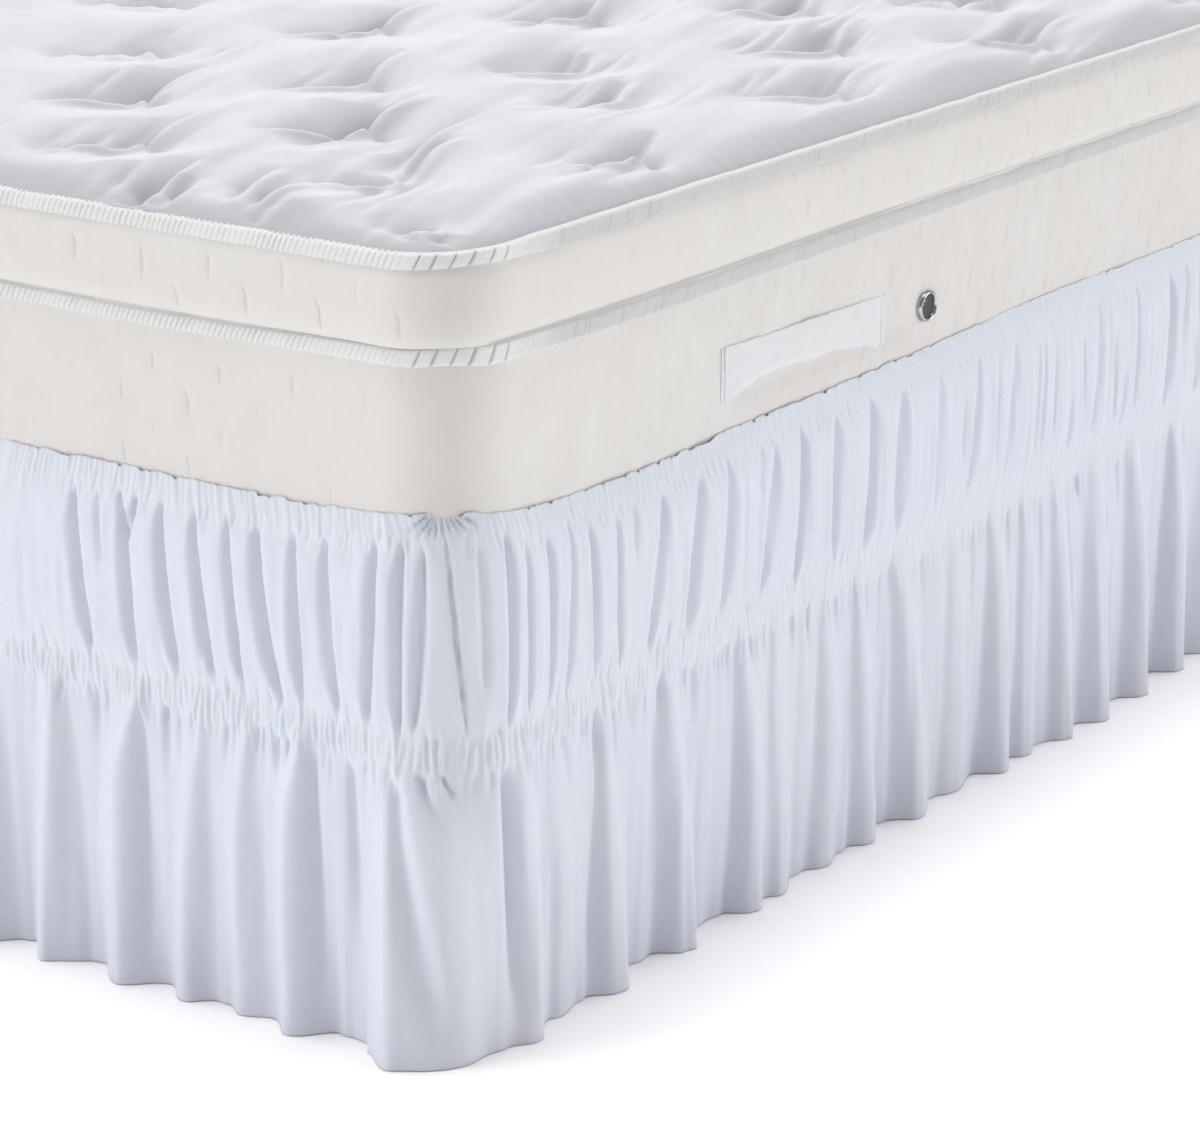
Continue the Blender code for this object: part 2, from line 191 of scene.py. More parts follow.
def lay_ring(name, points, every, at, heights):
    """A ring whose rows carry every column or, where every is 2, each second
    one; rows of different closeness are joined by triangles."""
    rows, columns = points.shape[:2]
    number = np.full((rows, columns), -1)
    count, places = 0, []
    for r in range(rows):
        take = np.arange(0, columns, every[r])
        number[r, take] = count + np.arange(len(take))
        count += len(take)
        places.append(points[r, take])
    places = np.concatenate(places)
    quads, tris = [], []
    for r in range(rows - 1):
        high, low = every[r], every[r + 1]
        pace = max(high, low)
        i = np.arange(0, columns, pace)
        a, b = np.full(i.shape, r), np.full(i.shape, r + 1)
        if high == low:
            quads.append(np.stack([a, i, b, i, b, i + pace, a, i + pace], axis=-1))
        elif low == 2:
            tris.append(np.stack([a, i, b, i, a, i + 1], axis=-1))
            tris.append(np.stack([a, i + 1, b, i, b, i + 2], axis=-1))
            tris.append(np.stack([a, i + 1, b, i + 2, a, i + 2], axis=-1))
        else:
            tris.append(np.stack([a, i, b, i, b, i + 1], axis=-1))
            tris.append(np.stack([a, i, b, i + 1, a, i + 2], axis=-1))
            tris.append(np.stack([a, i + 2, b, i + 1, b, i + 2], axis=-1))
    quads = np.concatenate(quads).reshape(-1, 4, 2)
    tris = np.concatenate(tris).reshape(-1, 3, 2) if tris else np.zeros((0, 3, 2), int)
    loops = np.concatenate([quads.reshape(-1, 2), tris.reshape(-1, 2)])
    starts = np.concatenate([np.arange(len(quads)) * 4, len(quads) * 4 + np.arange(len(tris)) * 3])
    mesh = bpy.data.meshes.new(name)
    mesh.vertices.add(count)
    mesh.vertices.foreach_set("co", places.reshape(-1).astype(np.float32))
    mesh.loops.add(len(loops))
    mesh.loops.foreach_set("vertex_index", number[loops[:, 0], loops[:, 1] % columns].astype(np.int32))
    mesh.polygons.add(len(starts))
    mesh.polygons.foreach_set("loop_start", starts.astype(np.int32))
    mesh.update(calc_edges=True)
    mesh.validate()
    u = at[loops[:, 1] % columns] + GIRTH * (loops[:, 1] >= columns)
    v = heights[loops[:, 0], loops[:, 1] % columns]
    layer = mesh.uv_layers.new(name="cloth")
    layer.data.foreach_set("uv", np.stack([u, v], axis=-1).reshape(-1).astype(np.float32))
    mesh.shade_smooth()
    obj = bpy.data.objects.new(name, mesh)
    bpy.context.scene.collection.objects.link(obj)
    return obj, len(quads) * 2 + len(tris)


def cloth_uv_turn(u):
    """How far the cloth's own coordinate runs in one turn round the bed."""
    return GIRTH if np.ptp(u[0]) < 1.5 * GIRTH else float(np.ptp(u[0])) * 1.001


def mark(obj, name, values):
    """A number for each point of a mesh, for its material."""
    layer = obj.data.attributes.new(name, "FLOAT", "POINT")
    layer.data.foreach_set("value", np.asarray(values, np.float32).reshape(-1))


def line_length(points):
    return float(np.linalg.norm(np.diff(np.concatenate([points, points[:1]]), axis=0), axis=1).sum())


# ------------------------------------------------------------ surface finish
def blank(name):
    made = bpy.data.materials.new(name)
    made.use_nodes = True
    tree = made.node_tree
    tree.nodes.clear()
    out = tree.nodes.new("ShaderNodeOutputMaterial")
    shader = tree.nodes.new("ShaderNodeBsdfPrincipled")
    tree.links.new(shader.outputs["BSDF"], out.inputs["Surface"])
    return made, tree, shader


def node(tree, kind, **settings):
    made = tree.nodes.new(kind)
    for key, value in settings.items():
        if key == "operation" or not key[0].isupper():
            setattr(made, key, value)
    return made


def maths(tree, operation, first, second=None, clamp=False):
    made = tree.nodes.new("ShaderNodeMath")
    made.operation = operation
    made.use_clamp = clamp
    for socket, value in zip(made.inputs, (first, second)):
        if value is None:
            continue
        if isinstance(value, (int, float)):
            socket.default_value = value
        else:
            tree.links.new(value, socket)
    return made.outputs[0]


def noise(tree, vector, scale, detail=2.0, roughness=0.5):
    made = tree.nodes.new("ShaderNodeTexNoise")
    made.inputs["Scale"].default_value = scale
    made.inputs["Detail"].default_value = detail
    made.inputs["Roughness"].default_value = roughness
    tree.links.new(vector, made.inputs["Vector"])
    return made.outputs["Fac"]


def stretched(tree, vector, scale):
    made = tree.nodes.new("ShaderNodeMapping")
    made.inputs["Scale"].default_value = scale
    tree.links.new(vector, made.inputs["Vector"])
    return made.outputs["Vector"]


def blend_colours(tree, factor, low, high):
    """Colour going from low to high (each a colour or a socket) by a factor."""
    made = tree.nodes.new("ShaderNodeMix")
    made.data_type = "RGBA"
    made.clamp_factor = True
    if isinstance(factor, (int, float)):
        made.inputs[0].default_value = factor
    else:
        tree.links.new(factor, made.inputs[0])
    for socket, value in ((made.inputs[6], low), (made.inputs[7], high)):
        if isinstance(value, tuple):
            socket.default_value = (*value, 1.0)
        else:
            tree.links.new(value, socket)
    return made.outputs[2]


def spread(tree, value, low, high):
    """A number mapped so that low gives 0 and high gives 1."""
    made = tree.nodes.new("ShaderNodeMapRange")
    made.clamp = True
    tree.links.new(value, made.inputs["Value"])
    made.inputs["From Min"].default_value = low
    made.inputs["From Max"].default_value = high
    return made.outputs["Result"]


def cloth_finish(name, base, warm, cool, roughness, sheen, thread, bump, slub=0.4,
                 mask=None, mask_colour=None, wear=None, sheen_tint=(1.0, 1.0, 1.0)):
    """Woven cloth: threads, slubs, uneven colour and a soft nap."""
    made, tree, shader = blank(name)
    place = tree.nodes.new("ShaderNodeTexCoord").outputs["Object"]
    layer = tree.nodes.new("ShaderNodeUVMap")
    layer.uv_map = "cloth"
    uv = layer.outputs["UV"]
    split = tree.nodes.new("ShaderNodeSeparateXYZ")
    tree.links.new(uv, split.inputs[0])
    turns = 2 * math.pi / thread
    across = maths(tree, "SINE", maths(tree, "MULTIPLY", split.outputs["X"], turns))
    along = maths(tree, "SINE", maths(tree, "MULTIPLY", split.outputs["Y"], turns))
    weave = maths(tree, "MULTIPLY", across, along)
    slubs = noise(tree, stretched(tree, uv, (1.0, 0.18, 1.0)), 900.0, 2.0)
    fuzz = noise(tree, place, 420.0, 3.0)
    broad = noise(tree, place, 5.0, 2.0)
    patch = noise(tree, place, 23.0, 3.0)
    height = maths(tree, "ADD", maths(tree, "MULTIPLY", weave, 0.5),
                   maths(tree, "MULTIPLY", slubs, slub))
    height = maths(tree, "ADD", height, maths(tree, "MULTIPLY", fuzz, 0.6))
    bumps = tree.nodes.new("ShaderNodeBump")
    bumps.inputs["Strength"].default_value = bump
    bumps.inputs["Distance"].default_value = 0.0004
    tree.links.new(height, bumps.inputs["Height"])
    tree.links.new(bumps.outputs["Normal"], shader.inputs["Normal"])
    colour = blend_colours(tree, spread(tree, broad, 0.35, 0.65), warm, cool)
    colour = blend_colours(tree, spread(tree, patch, 0.30, 0.70), colour, base)
    colour = blend_colours(tree, maths(tree, "MULTIPLY", spread(tree, fuzz, 0.35, 0.75), 0.10),
                           colour, tuple(c * 0.90 for c in base))
    if mask is not None:
        shown = tree.nodes.new("ShaderNodeAttribute")
        shown.attribute_name = mask
        colour = blend_colours(tree, shown.outputs["Fac"], colour, mask_colour)
    tree.links.new(colour, shader.inputs["Base Color"])
    rough_here = maths(tree, "ADD", maths(tree, "MULTIPLY", patch, 0.10), roughness - 0.05)
    tree.links.new(rough_here, shader.inputs["Roughness"])
    shader.inputs["Sheen Weight"].default_value = sheen
    shader.inputs["Sheen Roughness"].default_value = 0.45
    shader.inputs["Sheen Tint"].default_value = (*sheen_tint, 1.0)
    shader.inputs["Specular IOR Level"].default_value = 0.22
    return made


SKIRT_CLOTH = cloth_finish("skirt_cloth", (0.647, 0.666, 0.746), (0.657, 0.665, 0.740),
                           (0.652, 0.680, 0.762), 0.82, 0.10, 0.00050, 0.30,
                           mask="shirred", mask_colour=(0.656, 0.700, 0.768))
# border cloth: its mask colour is painted shade, laid along the quilting creases, in the seam gap, under
# the piping and under the handle strip
BORDER_CLOTH = cloth_finish("border_cloth", (0.656, 0.636, 0.617), (0.664, 0.633, 0.613),
                            (0.674, 0.663, 0.642), 0.74, 0.08, 0.00075, 0.40, slub=0.7,
                            mask="painted_border_shade", mask_colour=(0.40, 0.385, 0.37))
PANEL_CLOTH = cloth_finish("panel_cloth", (0.407, 0.400, 0.430), (0.416, 0.400, 0.422),
                           (0.407, 0.410, 0.444), 0.66, 0.14, 0.00065, 0.28, slub=0.7)
# tape cloth: its mask colour is painted shade, in the stitch grooves and as a painted shadow over the
# plain tape on the long side
TAPE_CLOTH = cloth_finish("tape_cloth", (0.712, 0.712, 0.700), (0.714, 0.708, 0.692),
                          (0.704, 0.714, 0.706), 0.58, 0.10, 0.00060, 0.45,
                          mask="painted_tape_shade", mask_colour=(0.40, 0.405, 0.395))
# handle cloth: its mask colour is painted shade, at the pressed-in ends and along the turned upper edge
HANDLE_CLOTH = cloth_finish("handle_cloth", (0.655, 0.650, 0.670), (0.655, 0.646, 0.662),
                            (0.646, 0.650, 0.676), 0.64, 0.10, 0.00110, 0.30,
                            mask="pressed_and_painted_shade", mask_colour=(0.22, 0.22, 0.22))


def metal_finish(name):
    made, tree, shader = blank(name)
    place = tree.nodes.new("ShaderNodeTexCoord").outputs["Object"]
    fine = noise(tree, place, 900.0, 3.0)
    coarse = noise(tree, place, 160.0, 2.0)
    shader.inputs["Metallic"].default_value = 1.0
    tree.links.new(blend_colours(tree, coarse, (0.34, 0.34, 0.36), (0.52, 0.52, 0.54)),
                   shader.inputs["Base Color"])
    tree.links.new(maths(tree, "ADD", maths(tree, "MULTIPLY", fine, 0.16), 0.14),
                   shader.inputs["Roughness"])
    bumps = tree.nodes.new("ShaderNodeBump")
    bumps.inputs["Strength"].default_value = 0.10
    bumps.inputs["Distance"].default_value = 0.0002
    tree.links.new(fine, bumps.inputs["Height"])
    tree.links.new(bumps.outputs["Normal"], shader.inputs["Normal"])
    return made


def dark_finish(name, low, high, roughness, scale):
    made, tree, shader = blank(name)
    place = tree.nodes.new("ShaderNodeTexCoord").outputs["Object"]
    grain = noise(tree, place, scale, 3.0)
    tree.links.new(blend_colours(tree, grain, low, high), shader.inputs["Base Color"])
    tree.links.new(maths(tree, "ADD", maths(tree, "MULTIPLY", grain, 0.2), roughness - 0.1),
                   shader.inputs["Roughness"])
    bumps = tree.nodes.new("ShaderNodeBump")
    bumps.inputs["Strength"].default_value = 0.30
    bumps.inputs["Distance"].default_value = 0.0003
    tree.links.new(grain, bumps.inputs["Height"])
    tree.links.new(bumps.outputs["Normal"], shader.inputs["Normal"])
    return made


VENT_METAL = metal_finish("vent_metal")
# near-black finish of the vent's screen: partly its own colour, partly painted shade of the hollow behind
# it
VENT_DARK = dark_finish("vent_screen_and_hole_shade", (0.015, 0.015, 0.017), (0.06, 0.06, 0.065), 0.55, 1500.0)
FOOT_PLASTIC = dark_finish("foot_plastic", (0.045, 0.045, 0.045), (0.075, 0.075, 0.075), 0.50, 700.0)
BASE_CLOTH = dark_finish("base_cloth", (0.66, 0.64, 0.60), (0.76, 0.74, 0.70), 0.85, 900.0)


# --------------------------------------------------------------------- skirt
# Broad folds of the lower tier, beside the photographed corner.
#   side    -1 where the slope that faces the corner falls away from the
#           crest, +1 where it climbs to it
#   tip, knee, mid, foot   middle of that slope at heights .25 .20 .10 .04
#   half    half its width at the hem
#   dip, crest   how far the hem stands out beside it
#   fall    width of the fold's other slope, flat  width of its crest
LOW = (
    # name      side  tip     knee    mid     foot    half    dip     crest   fall   flat
    ("foot_5",  -1, -0.393, -0.388, -0.386, -0.386, 0.0190, 0.0135, 0.0385, 0.036, 0.000),
    ("foot_4",  -1, -0.299, -0.311, -0.305, -0.302, 0.0190, 0.0150, 0.0400, 0.038, 0.000),
    ("foot_3",  -1, -0.230, -0.233, -0.235, -0.237, 0.0135, 0.0212, 0.0370, 0.030, 0.000),
    ("foot_2",  -1, -0.182, -0.185, -0.181, -0.177, 0.0140, 0.0185, 0.0312, 0.020, 0.000),
    ("foot_1",  -1, -0.123, -0.127, -0.121, -0.114, 0.0180, 0.0140, 0.0430, 0.028, 0.000),
    ("side_1",   1,  0.048,  0.048,  0.048,  0.048, 0.0080, 0.0265, 0.0340, 0.036, 0.000),
    ("side_2",   1,  0.093,  0.094,  0.106,  0.101, 0.0100, 0.0120, 0.0195, 0.030, 0.000),
    ("side_3",   1,  0.165,  0.160,  0.167,  0.169, 0.0165, 0.0130, 0.0320, 0.044, 0.000),
    ("side_4",   1,  0.266,  0.264,  0.277,  0.279, 0.0170, 0.0045, 0.0303, 0.036, 0.000),
    ("side_5",   1,  0.383,  0.387,  0.393,  0.391, 0.0125, 0.0050, 0.0303, 0.026, 0.000),
    ("side_6",   1,  0.440,  0.434,  0.438,  0.444, 0.0095, 0.0170, 0.0270, 0.036, 0.000),
    ("side_7",   1,  0.522,  0.526,  0.529,  0.521, 0.0135, 0.0095, 0.0232, 0.030, 0.000),
    ("side_8",   1,  0.581,  0.583,  0.587,  0.594, 0.0130, 0.0116, 0.0285, 0.036, 0.000),
    ("side_9",   1,  0.652,  0.661,  0.672,  0.679, 0.0170, 0.0040, 0.0323, 0.040, 0.000),
    ("side_10",  1,  0.755,  0.760,  0.762,  0.761, 0.0150, 0.0105, 0.0215, 0.034, 0.000),
    ("side_11",  1,  0.832,  0.836,  0.838,  0.838, 0.0145, 0.0120, 0.0350, 0.028, 0.000),
    ("side_12",  1,  0.893,  0.895,  0.893,  0.893, 0.0100, 0.0170, 0.0310, 0.032, 0.000),
    ("side_13",  1,  0.955,  0.958,  0.963,  0.958, 0.0140, 0.0220, 0.0405, 0.034, 0.000),
    ("side_14",  1,  1.034,  1.032,  1.030,  1.029, 0.0180, 0.0245, 0.0450, 0.044, 0.000),
    ("side_15",  1,  1.118,  1.121,  1.127,  1.121, 0.0150, 0.0205, 0.0410, 0.036, 0.000),
)
# The one broad fold at the corner: place and how far the hem stands out.
CORNER_FOLD = ((-0.0660, 0.0190), (-0.0500, 0.0320), (-0.0410, 0.0480), (-0.0375, 0.0532),
               (-0.0330, 0.0548), (-0.0240, 0.0530), (-0.0150, 0.0505), (-0.0050, 0.0475),
               (0.0030, 0.0435), (0.0090, 0.0370), (0.0160, 0.0310), (0.0255, 0.0265),
               (0.0400, 0.0268))
# The folds that carry on round the bed with the same habit.
ROUND_FOLDS = (
    # step   crest   dip    depth  sway
    (0.092, 0.038, 0.011, 0.95, 0.004),
    (0.078, 0.033, 0.010, 0.85, -0.005),
    (0.104, 0.041, 0.012, 1.10, 0.006),
    (0.085, 0.032, 0.011, 0.90, 0.000),
    (0.097, 0.039, 0.009, 1.05, -0.006),
    (0.074, 0.034, 0.014, 0.80, 0.003),
    (0.108, 0.041, 0.010, 1.15, 0.005),
    (0.088, 0.032, 0.012, 0.90, -0.003),
    (0.081, 0.039, 0.010, 1.00, 0.002),
)
FIRST_FOLD, LAST_FOLD = -0.395, 1.134

# Narrow hollows of the upper tier: place at head, middle and foot, half
# width, depth against the usual, heights of head and foot, and shape: -1
# easy slope on the left, +1 easy slope on the right, 0 even.
UPPER = (
    # head     middle   foot    width   depth  z_head z_foot shape
    (-0.371, -0.364, -0.353, 0.0125, 1.10, 0.439, 0.282, -1),
    (-0.345, -0.342, -0.338, 0.0060, 0.50, 0.437, 0.368, -1),
    (-0.324, -0.316, -0.311, 0.0070, 0.90, 0.440, 0.385, -1),
    (-0.303, -0.306, -0.311, 0.0060, 0.80, 0.438, 0.396, -1),
    (-0.315, -0.311, -0.305, 0.0130, 1.10, 0.428, 0.278, -1),
    (-0.277, -0.270, -0.258, 0.0120, 1.15, 0.441, 0.280, -1),
    (-0.241, -0.232, -0.218, 0.0105, 1.00, 0.440, 0.280, -1),
    (-0.206, -0.198, -0.189, 0.0112, 1.05, 0.438, 0.284, -1),
    (-0.175, -0.165, -0.147, 0.0138, 1.25, 0.440, 0.276, -1),
    (-0.136, -0.131, -0.127, 0.0112, 1.00, 0.438, 0.280, -1),
    (-0.103, -0.098, -0.089, 0.0112, 1.00, 0.438, 0.282, -1),
    (-0.082, -0.081, -0.080, 0.0026, 0.35, 0.446, 0.398, -1),
    (-0.054, -0.056, -0.063, 0.0098, 1.05, 0.442, 0.276, -1),
    (-0.033, -0.035, -0.036, 0.0085, 1.05, 0.444, 0.276, -1),
    (-0.019, -0.021, -0.027, 0.0065, 0.80, 0.436, 0.284, 0),
    (-0.0045, 0.0020, 0.0100, 0.0034, 0.66, 0.446, 0.284, 0),
    (0.018, 0.020, 0.021, 0.0060, 0.45, 0.436, 0.320, 0),
    (0.041, 0.041, 0.040, 0.0085, 1.10, 0.452, 0.280, 1),
    (0.060, 0.060, 0.061, 0.0075, 0.85, 0.438, 0.280, 1),
    (0.090, 0.091, 0.090, 0.0095, 1.00, 0.440, 0.280, 1),
    (0.124, 0.119, 0.116, 0.0095, 0.80, 0.438, 0.278, 1),
    (0.152, 0.152, 0.160, 0.0110, 1.05, 0.437, 0.280, 1),
    (0.191, 0.188, 0.196, 0.0090, 0.80, 0.436, 0.280, 1),
    (0.218, 0.214, 0.212, 0.0060, 0.50, 0.436, 0.384, 1),
    (0.262, 0.247, 0.234, 0.0125, 1.05, 0.438, 0.281, 1),
    (0.268, 0.267, 0.268, 0.0045, 0.50, 0.316, 0.282, 1),
    (0.321, 0.304, 0.297, 0.0160, 1.15, 0.441, 0.281, 1),
    (0.364, 0.357, 0.348, 0.0140, 0.90, 0.438, 0.283, 1),
    (0.419, 0.412, 0.410, 0.0070, 0.55, 0.436, 0.385, 1),
    (0.440, 0.424, 0.411, 0.0130, 0.90, 0.434, 0.283, 1),
    (0.486, 0.477, 0.471, 0.0135, 1.25, 0.442, 0.282, 1),
    (0.543, 0.535, 0.539, 0.0140, 1.00, 0.438, 0.290, 1),
    (0.605, 0.598, 0.590, 0.0175, 1.25, 0.441, 0.283, 1),
    (0.662, 0.648, 0.653, 0.0150, 0.95, 0.438, 0.286, 1),
    (0.727, 0.718, 0.718, 0.0120, 0.45, 0.436, 0.292, 1),
    (0.770, 0.768, 0.764, 0.0040, 0.45, 0.400, 0.330, 1),
    (0.801, 0.789, 0.779, 0.0110, 0.62, 0.436, 0.290, 1),
    (0.837, 0.832, 0.828, 0.0050, 0.30, 0.428, 0.310, 1),
    (0.871, 0.860, 0.852, 0.0105, 0.48, 0.434, 0.294, 1),
    (0.912, 0.912, 0.910, 0.0040, 0.45, 0.420, 0.298, 1),
    (0.926, 0.924, 0.922, 0.0045, 0.40, 0.424, 0.300, 1),
    (0.949, 0.947, 0.946, 0.0045, 0.45, 0.412, 0.314, 1),
    (0.982, 0.981, 0.980, 0.0070, 0.40, 0.345, 0.292, 1),
    (1.005, 1.007, 1.010, 0.0034, 0.70, 0.410, 0.322, 1),
    (1.041, 1.038, 1.028, 0.0100, 0.60, 0.437, 0.294, 1),
    (1.072, 1.073, 1.076, 0.0034, 0.60, 0.394, 0.296, 1),
    (1.096, 1.094, 1.092, 0.0100, 0.62, 0.345, 0.290, 1),
    (1.124, 1.120, 1.118, 0.0090, 0.60, 0.438, 0.298, 1),
)

# Pointed folds that start at the band, and the diagonal ones at the
# corner: place at head and foot, heights, half width at head and foot, depth.
POINTED = (
    # head     foot    z_head  z_foot  width_a width_b depth
    (-0.355, -0.352, 0.262, 0.205, 0.0040, 0.0060, 0.0045),
    (-0.304, -0.297, 0.262, 0.004, 0.0045, 0.0080, 0.0050),
    (-0.277, -0.274, 0.262, 0.185, 0.0045, 0.0070, 0.0055),
    (-0.247, -0.238, 0.260, 0.225, 0.0030, 0.0035, 0.0040),
    (-0.208, -0.210, 0.258, 0.215, 0.0030, 0.0040, 0.0030),
    (-0.157, -0.153, 0.260, 0.215, 0.0035, 0.0045, 0.0045),
    (-0.142, -0.146, 0.258, 0.225, 0.0028, 0.0035, 0.0030),
    (-0.121, -0.109, 0.262, 0.004, 0.0045, 0.0080, 0.0055),
    (-0.100, -0.099, 0.256, 0.205, 0.0030, 0.0040, 0.0025),
    (-0.082, -0.070, 0.262, 0.040, 0.0045, 0.0110, 0.0075),
    (-0.040, -0.009, 0.262, 0.004, 0.0050, 0.0125, 0.0115),
    (-0.024, -0.006, 0.262, 0.205, 0.0032, 0.0045, 0.0050),
    (-0.010, 0.004, 0.262, 0.228, 0.0026, 0.0032, 0.0045),
    (0.037, 0.047, 0.264, 0.004, 0.0048, 0.0102, 0.0120),
    (0.064, 0.074, 0.260, 0.210, 0.0040, 0.0055, 0.0035),
    (0.112, 0.122, 0.260, 0.205, 0.0040, 0.0055, 0.0030),
    (0.163, 0.158, 0.262, 0.004, 0.0040, 0.0090, 0.0060),
    (0.186, 0.196, 0.262, 0.185, 0.0045, 0.0065, 0.0045),
    (0.212, 0.222, 0.258, 0.220, 0.0035, 0.0040, 0.0035),
    (0.300, 0.302, 0.262, 0.225, 0.0030, 0.0040, 0.0035),
    (0.316, 0.314, 0.260, 0.180, 0.0060, 0.0090, 0.0045),
    (0.356, 0.354, 0.260, 0.222, 0.0035, 0.0040, 0.0035),
    (0.402, 0.405, 0.264, 0.225, 0.0040, 0.0045, 0.0045),
    (0.473, 0.476, 0.262, 0.220, 0.0035, 0.0045, 0.0035),
    (0.500, 0.502, 0.262, 0.215, 0.0030, 0.0040, 0.0025),
    (0.548, 0.552, 0.260, 0.210, 0.0040, 0.0050, 0.0030),
    (0.604, 0.606, 0.258, 0.200, 0.0045, 0.0060, 0.0030),
    (0.628, 0.632, 0.256, 0.160, 0.0030, 0.0040, 0.0020),
    (0.705, 0.712, 0.258, 0.195, 0.0045, 0.0070, 0.0030),
    (0.800, 0.803, 0.256, 0.130, 0.0030, 0.0040, 0.0022),
    (0.868, 0.868, 0.262, 0.200, 0.0050, 0.0060, 0.0032),
    (0.928, 0.935, 0.255, 0.130, 0.0028, 0.0036, 0.0026),
    (0.985, 1.006, 0.230, 0.020, 0.0022, 0.0030, 0.0032),
    (1.008, 1.012, 0.264, 0.226, 0.0040, 0.0045, 0.0035),
    (1.066, 1.090, 0.230, 0.020, 0.0022, 0.0030, 0.0032),
    (1.092, 1.096, 0.258, 0.190, 0.0035, 0.0050, 0.0025),
)

# How the shirred rows wander up and down beside the corner, and how far the
# hem is off the floor.
EDGE = (
    # at      lip     band    hem
    (-0.60, -0.001, 0.000, 0.000),
    (-0.30, -0.001, -0.003, 0.000),
    (-0.20, -0.001, -0.003, 0.000),
    (-0.10, 0.001, -0.003, 0.000),
    (-0.05, 0.0045, -0.007, 0.000),
    (0.00, 0.010, -0.014, 0.000),
    (0.05, 0.001, -0.007, 0.000),
    (0.10, -0.005, -0.003, 0.000),
    (0.20, -0.009, -0.002, 0.000),
    (0.30, -0.0085, -0.001, 0.000),
    (0.40, -0.005, -0.001, 0.000),
    (0.50, -0.006, 0.000, 0.000),
    (0.70, -0.0035, 0.001, 0.000),
    (0.80, -0.002, 0.002, 0.000),
    (0.90, 0.0015, 0.003, 0.000),
    (1.00, 0.0015, 0.003, 0.000),
    (1.15, -0.001, 0.002, 0.000),
    (1.45, 0.000, 0.000, 0.000),
)

# Share of the lower folds that is open at each height.
OPEN = (
    # height, foot end, corner, long side
    (0.0030, 1.000, 1.000, 1.000), (0.0300, 0.960, 1.000, 0.900), (0.0500, 0.940, 1.000, 0.830),
    (0.0800, 0.890, 0.995, 0.740), (0.1200, 0.815, 0.960, 0.640), (0.1500, 0.740, 0.880, 0.560),
    (0.1750, 0.660, 0.770, 0.480), (0.2000, 0.570, 0.620, 0.400), (0.2200, 0.500, 0.450, 0.340),
    (0.2350, 0.430, 0.310, 0.290), (0.2500, 0.350, 0.170, 0.230), (0.2620, 0.240, 0.060, 0.150),
    (0.2720, 0.080, 0.000, 0.040), (0.2800, 0.000, 0.000, 0.000), (0.4600, 0.000, 0.000, 0.000),
)
# How far the cloth stands out where no fold moves it.
PUFF = (
    (0.0030, 0.0200), (0.1000, 0.0195), (0.1600, 0.0188), (0.2200, 0.0175), (0.2450, 0.0165),
    (0.2580, 0.0156), (0.2830, 0.0160), (0.2920, 0.0178), (0.3100, 0.0203), (0.3400, 0.0215),
    (0.3700, 0.0216), (0.4000, 0.0208), (0.4180, 0.0188), (0.4300, 0.0156), (0.4380, 0.0122),
    (0.4470, 0.0080), (0.4570, 0.0038),
)

# Heights of the cloth's rows; the tiers between the shirred rows need only
# every second column.
SKIRT_Z = (
    (1, (0.4570, 0.4556, 0.4536, 0.4510, 0.4482, 0.4452, 0.4422, 0.4392, 0.4360, 0.4325, 0.4290)),
    (2, (0.4250, 0.4200, 0.4140, 0.4060, 0.3960, 0.3830, 0.3680, 0.3520, 0.3370, 0.3240, 0.3140)),
    (1, (0.3070, 0.3010, 0.2955, 0.2905, 0.2860, 0.2815, 0.2770, 0.2725, 0.2680, 0.2635, 0.2590,
         0.2545, 0.2495, 0.2435)),
    (2, (0.2360, 0.2270, 0.2170, 0.2050, 0.1910, 0.1750, 0.1560, 0.1340, 0.1100, 0.0860, 0.0620,
         0.0400, 0.0220, 0.0110, 0.0045, 0.0008)),
)


def all_folds():
    """The tabled folds, then the ones that carry on round the bed."""
    folds = [dict(side=side, line=(tip, knee, mid, foot), half=half, dip=dip, crest=crest,
                  fall=fall, flat=flat)
             for _, side, tip, knee, mid, foot, half, dip, crest, fall, flat in LOW]
    uppers = [dict(line=(head, middle, foot), width=width, depth=depth, head=z_head,
                   foot=z_foot, shape=shape)
              for head, middle, foot, width, depth, z_head, z_foot, shape in UPPER]
    first = FIRST_FOLD + GIRTH
    mean = sum(row[0] for row in ROUND_FOLDS) / len(ROUND_FOLDS)
    count = round((first - LAST_FOLD) / mean) - 1
    steps = [ROUND_FOLDS[i % len(ROUND_FOLDS)][0] for i in range(count + 1)]
    fit = (first - LAST_FOLD) / sum(steps)
    at = LAST_FOLD
    for i in range(count):
        gap, crest, dip, depth, sway = ROUND_FOLDS[i % len(ROUND_FOLDS)]
        near = gap * fit
        at += near
        lean = 0.006 * float(lattice(11, i, 0))
        folds.append(dict(side=1, line=(at - 0.012 - lean, at - 0.012 + 0.4 * lean,
                                        at - 0.012 + lean, at - 0.012 + lean),
                          half=0.016 + 0.003 * float(lattice(12, i, 0)), dip=dip, crest=crest,
                          fall=0.40 * near, flat=0.0))
        for k, share in ((0, -0.40), (1, -0.04), (2, 0.30)):
            if k == 2 and i % 3:
                continue
            place = at + share * near + sway
            tilt = 0.009 * float(lattice(13, i, k))
            short = float(lattice(14, i, k)) > 0.55
            uppers.append(dict(line=(place + tilt, place, place - tilt),
                               width=0.0115 + 0.0025 * float(lattice(15, i, k)),
                               depth=depth * (0.75 if short else 1.0),
                               head=0.438, foot=0.36 if short else 0.284, shape=1))
    return folds, uppers


FOLDS, UPPERS = all_folds()


def near_columns(at, low, high):
    """Slices of the ring's columns that lie between two places, with the
    whole turn to add to them."""
    found = []
    for turn in (-GIRTH, 0.0, GIRTH):
        a, b = np.searchsorted(at, low + turn), np.searchsorted(at, high + turn)
        if b > a:
            found.append((slice(a, b), -turn))
    return found


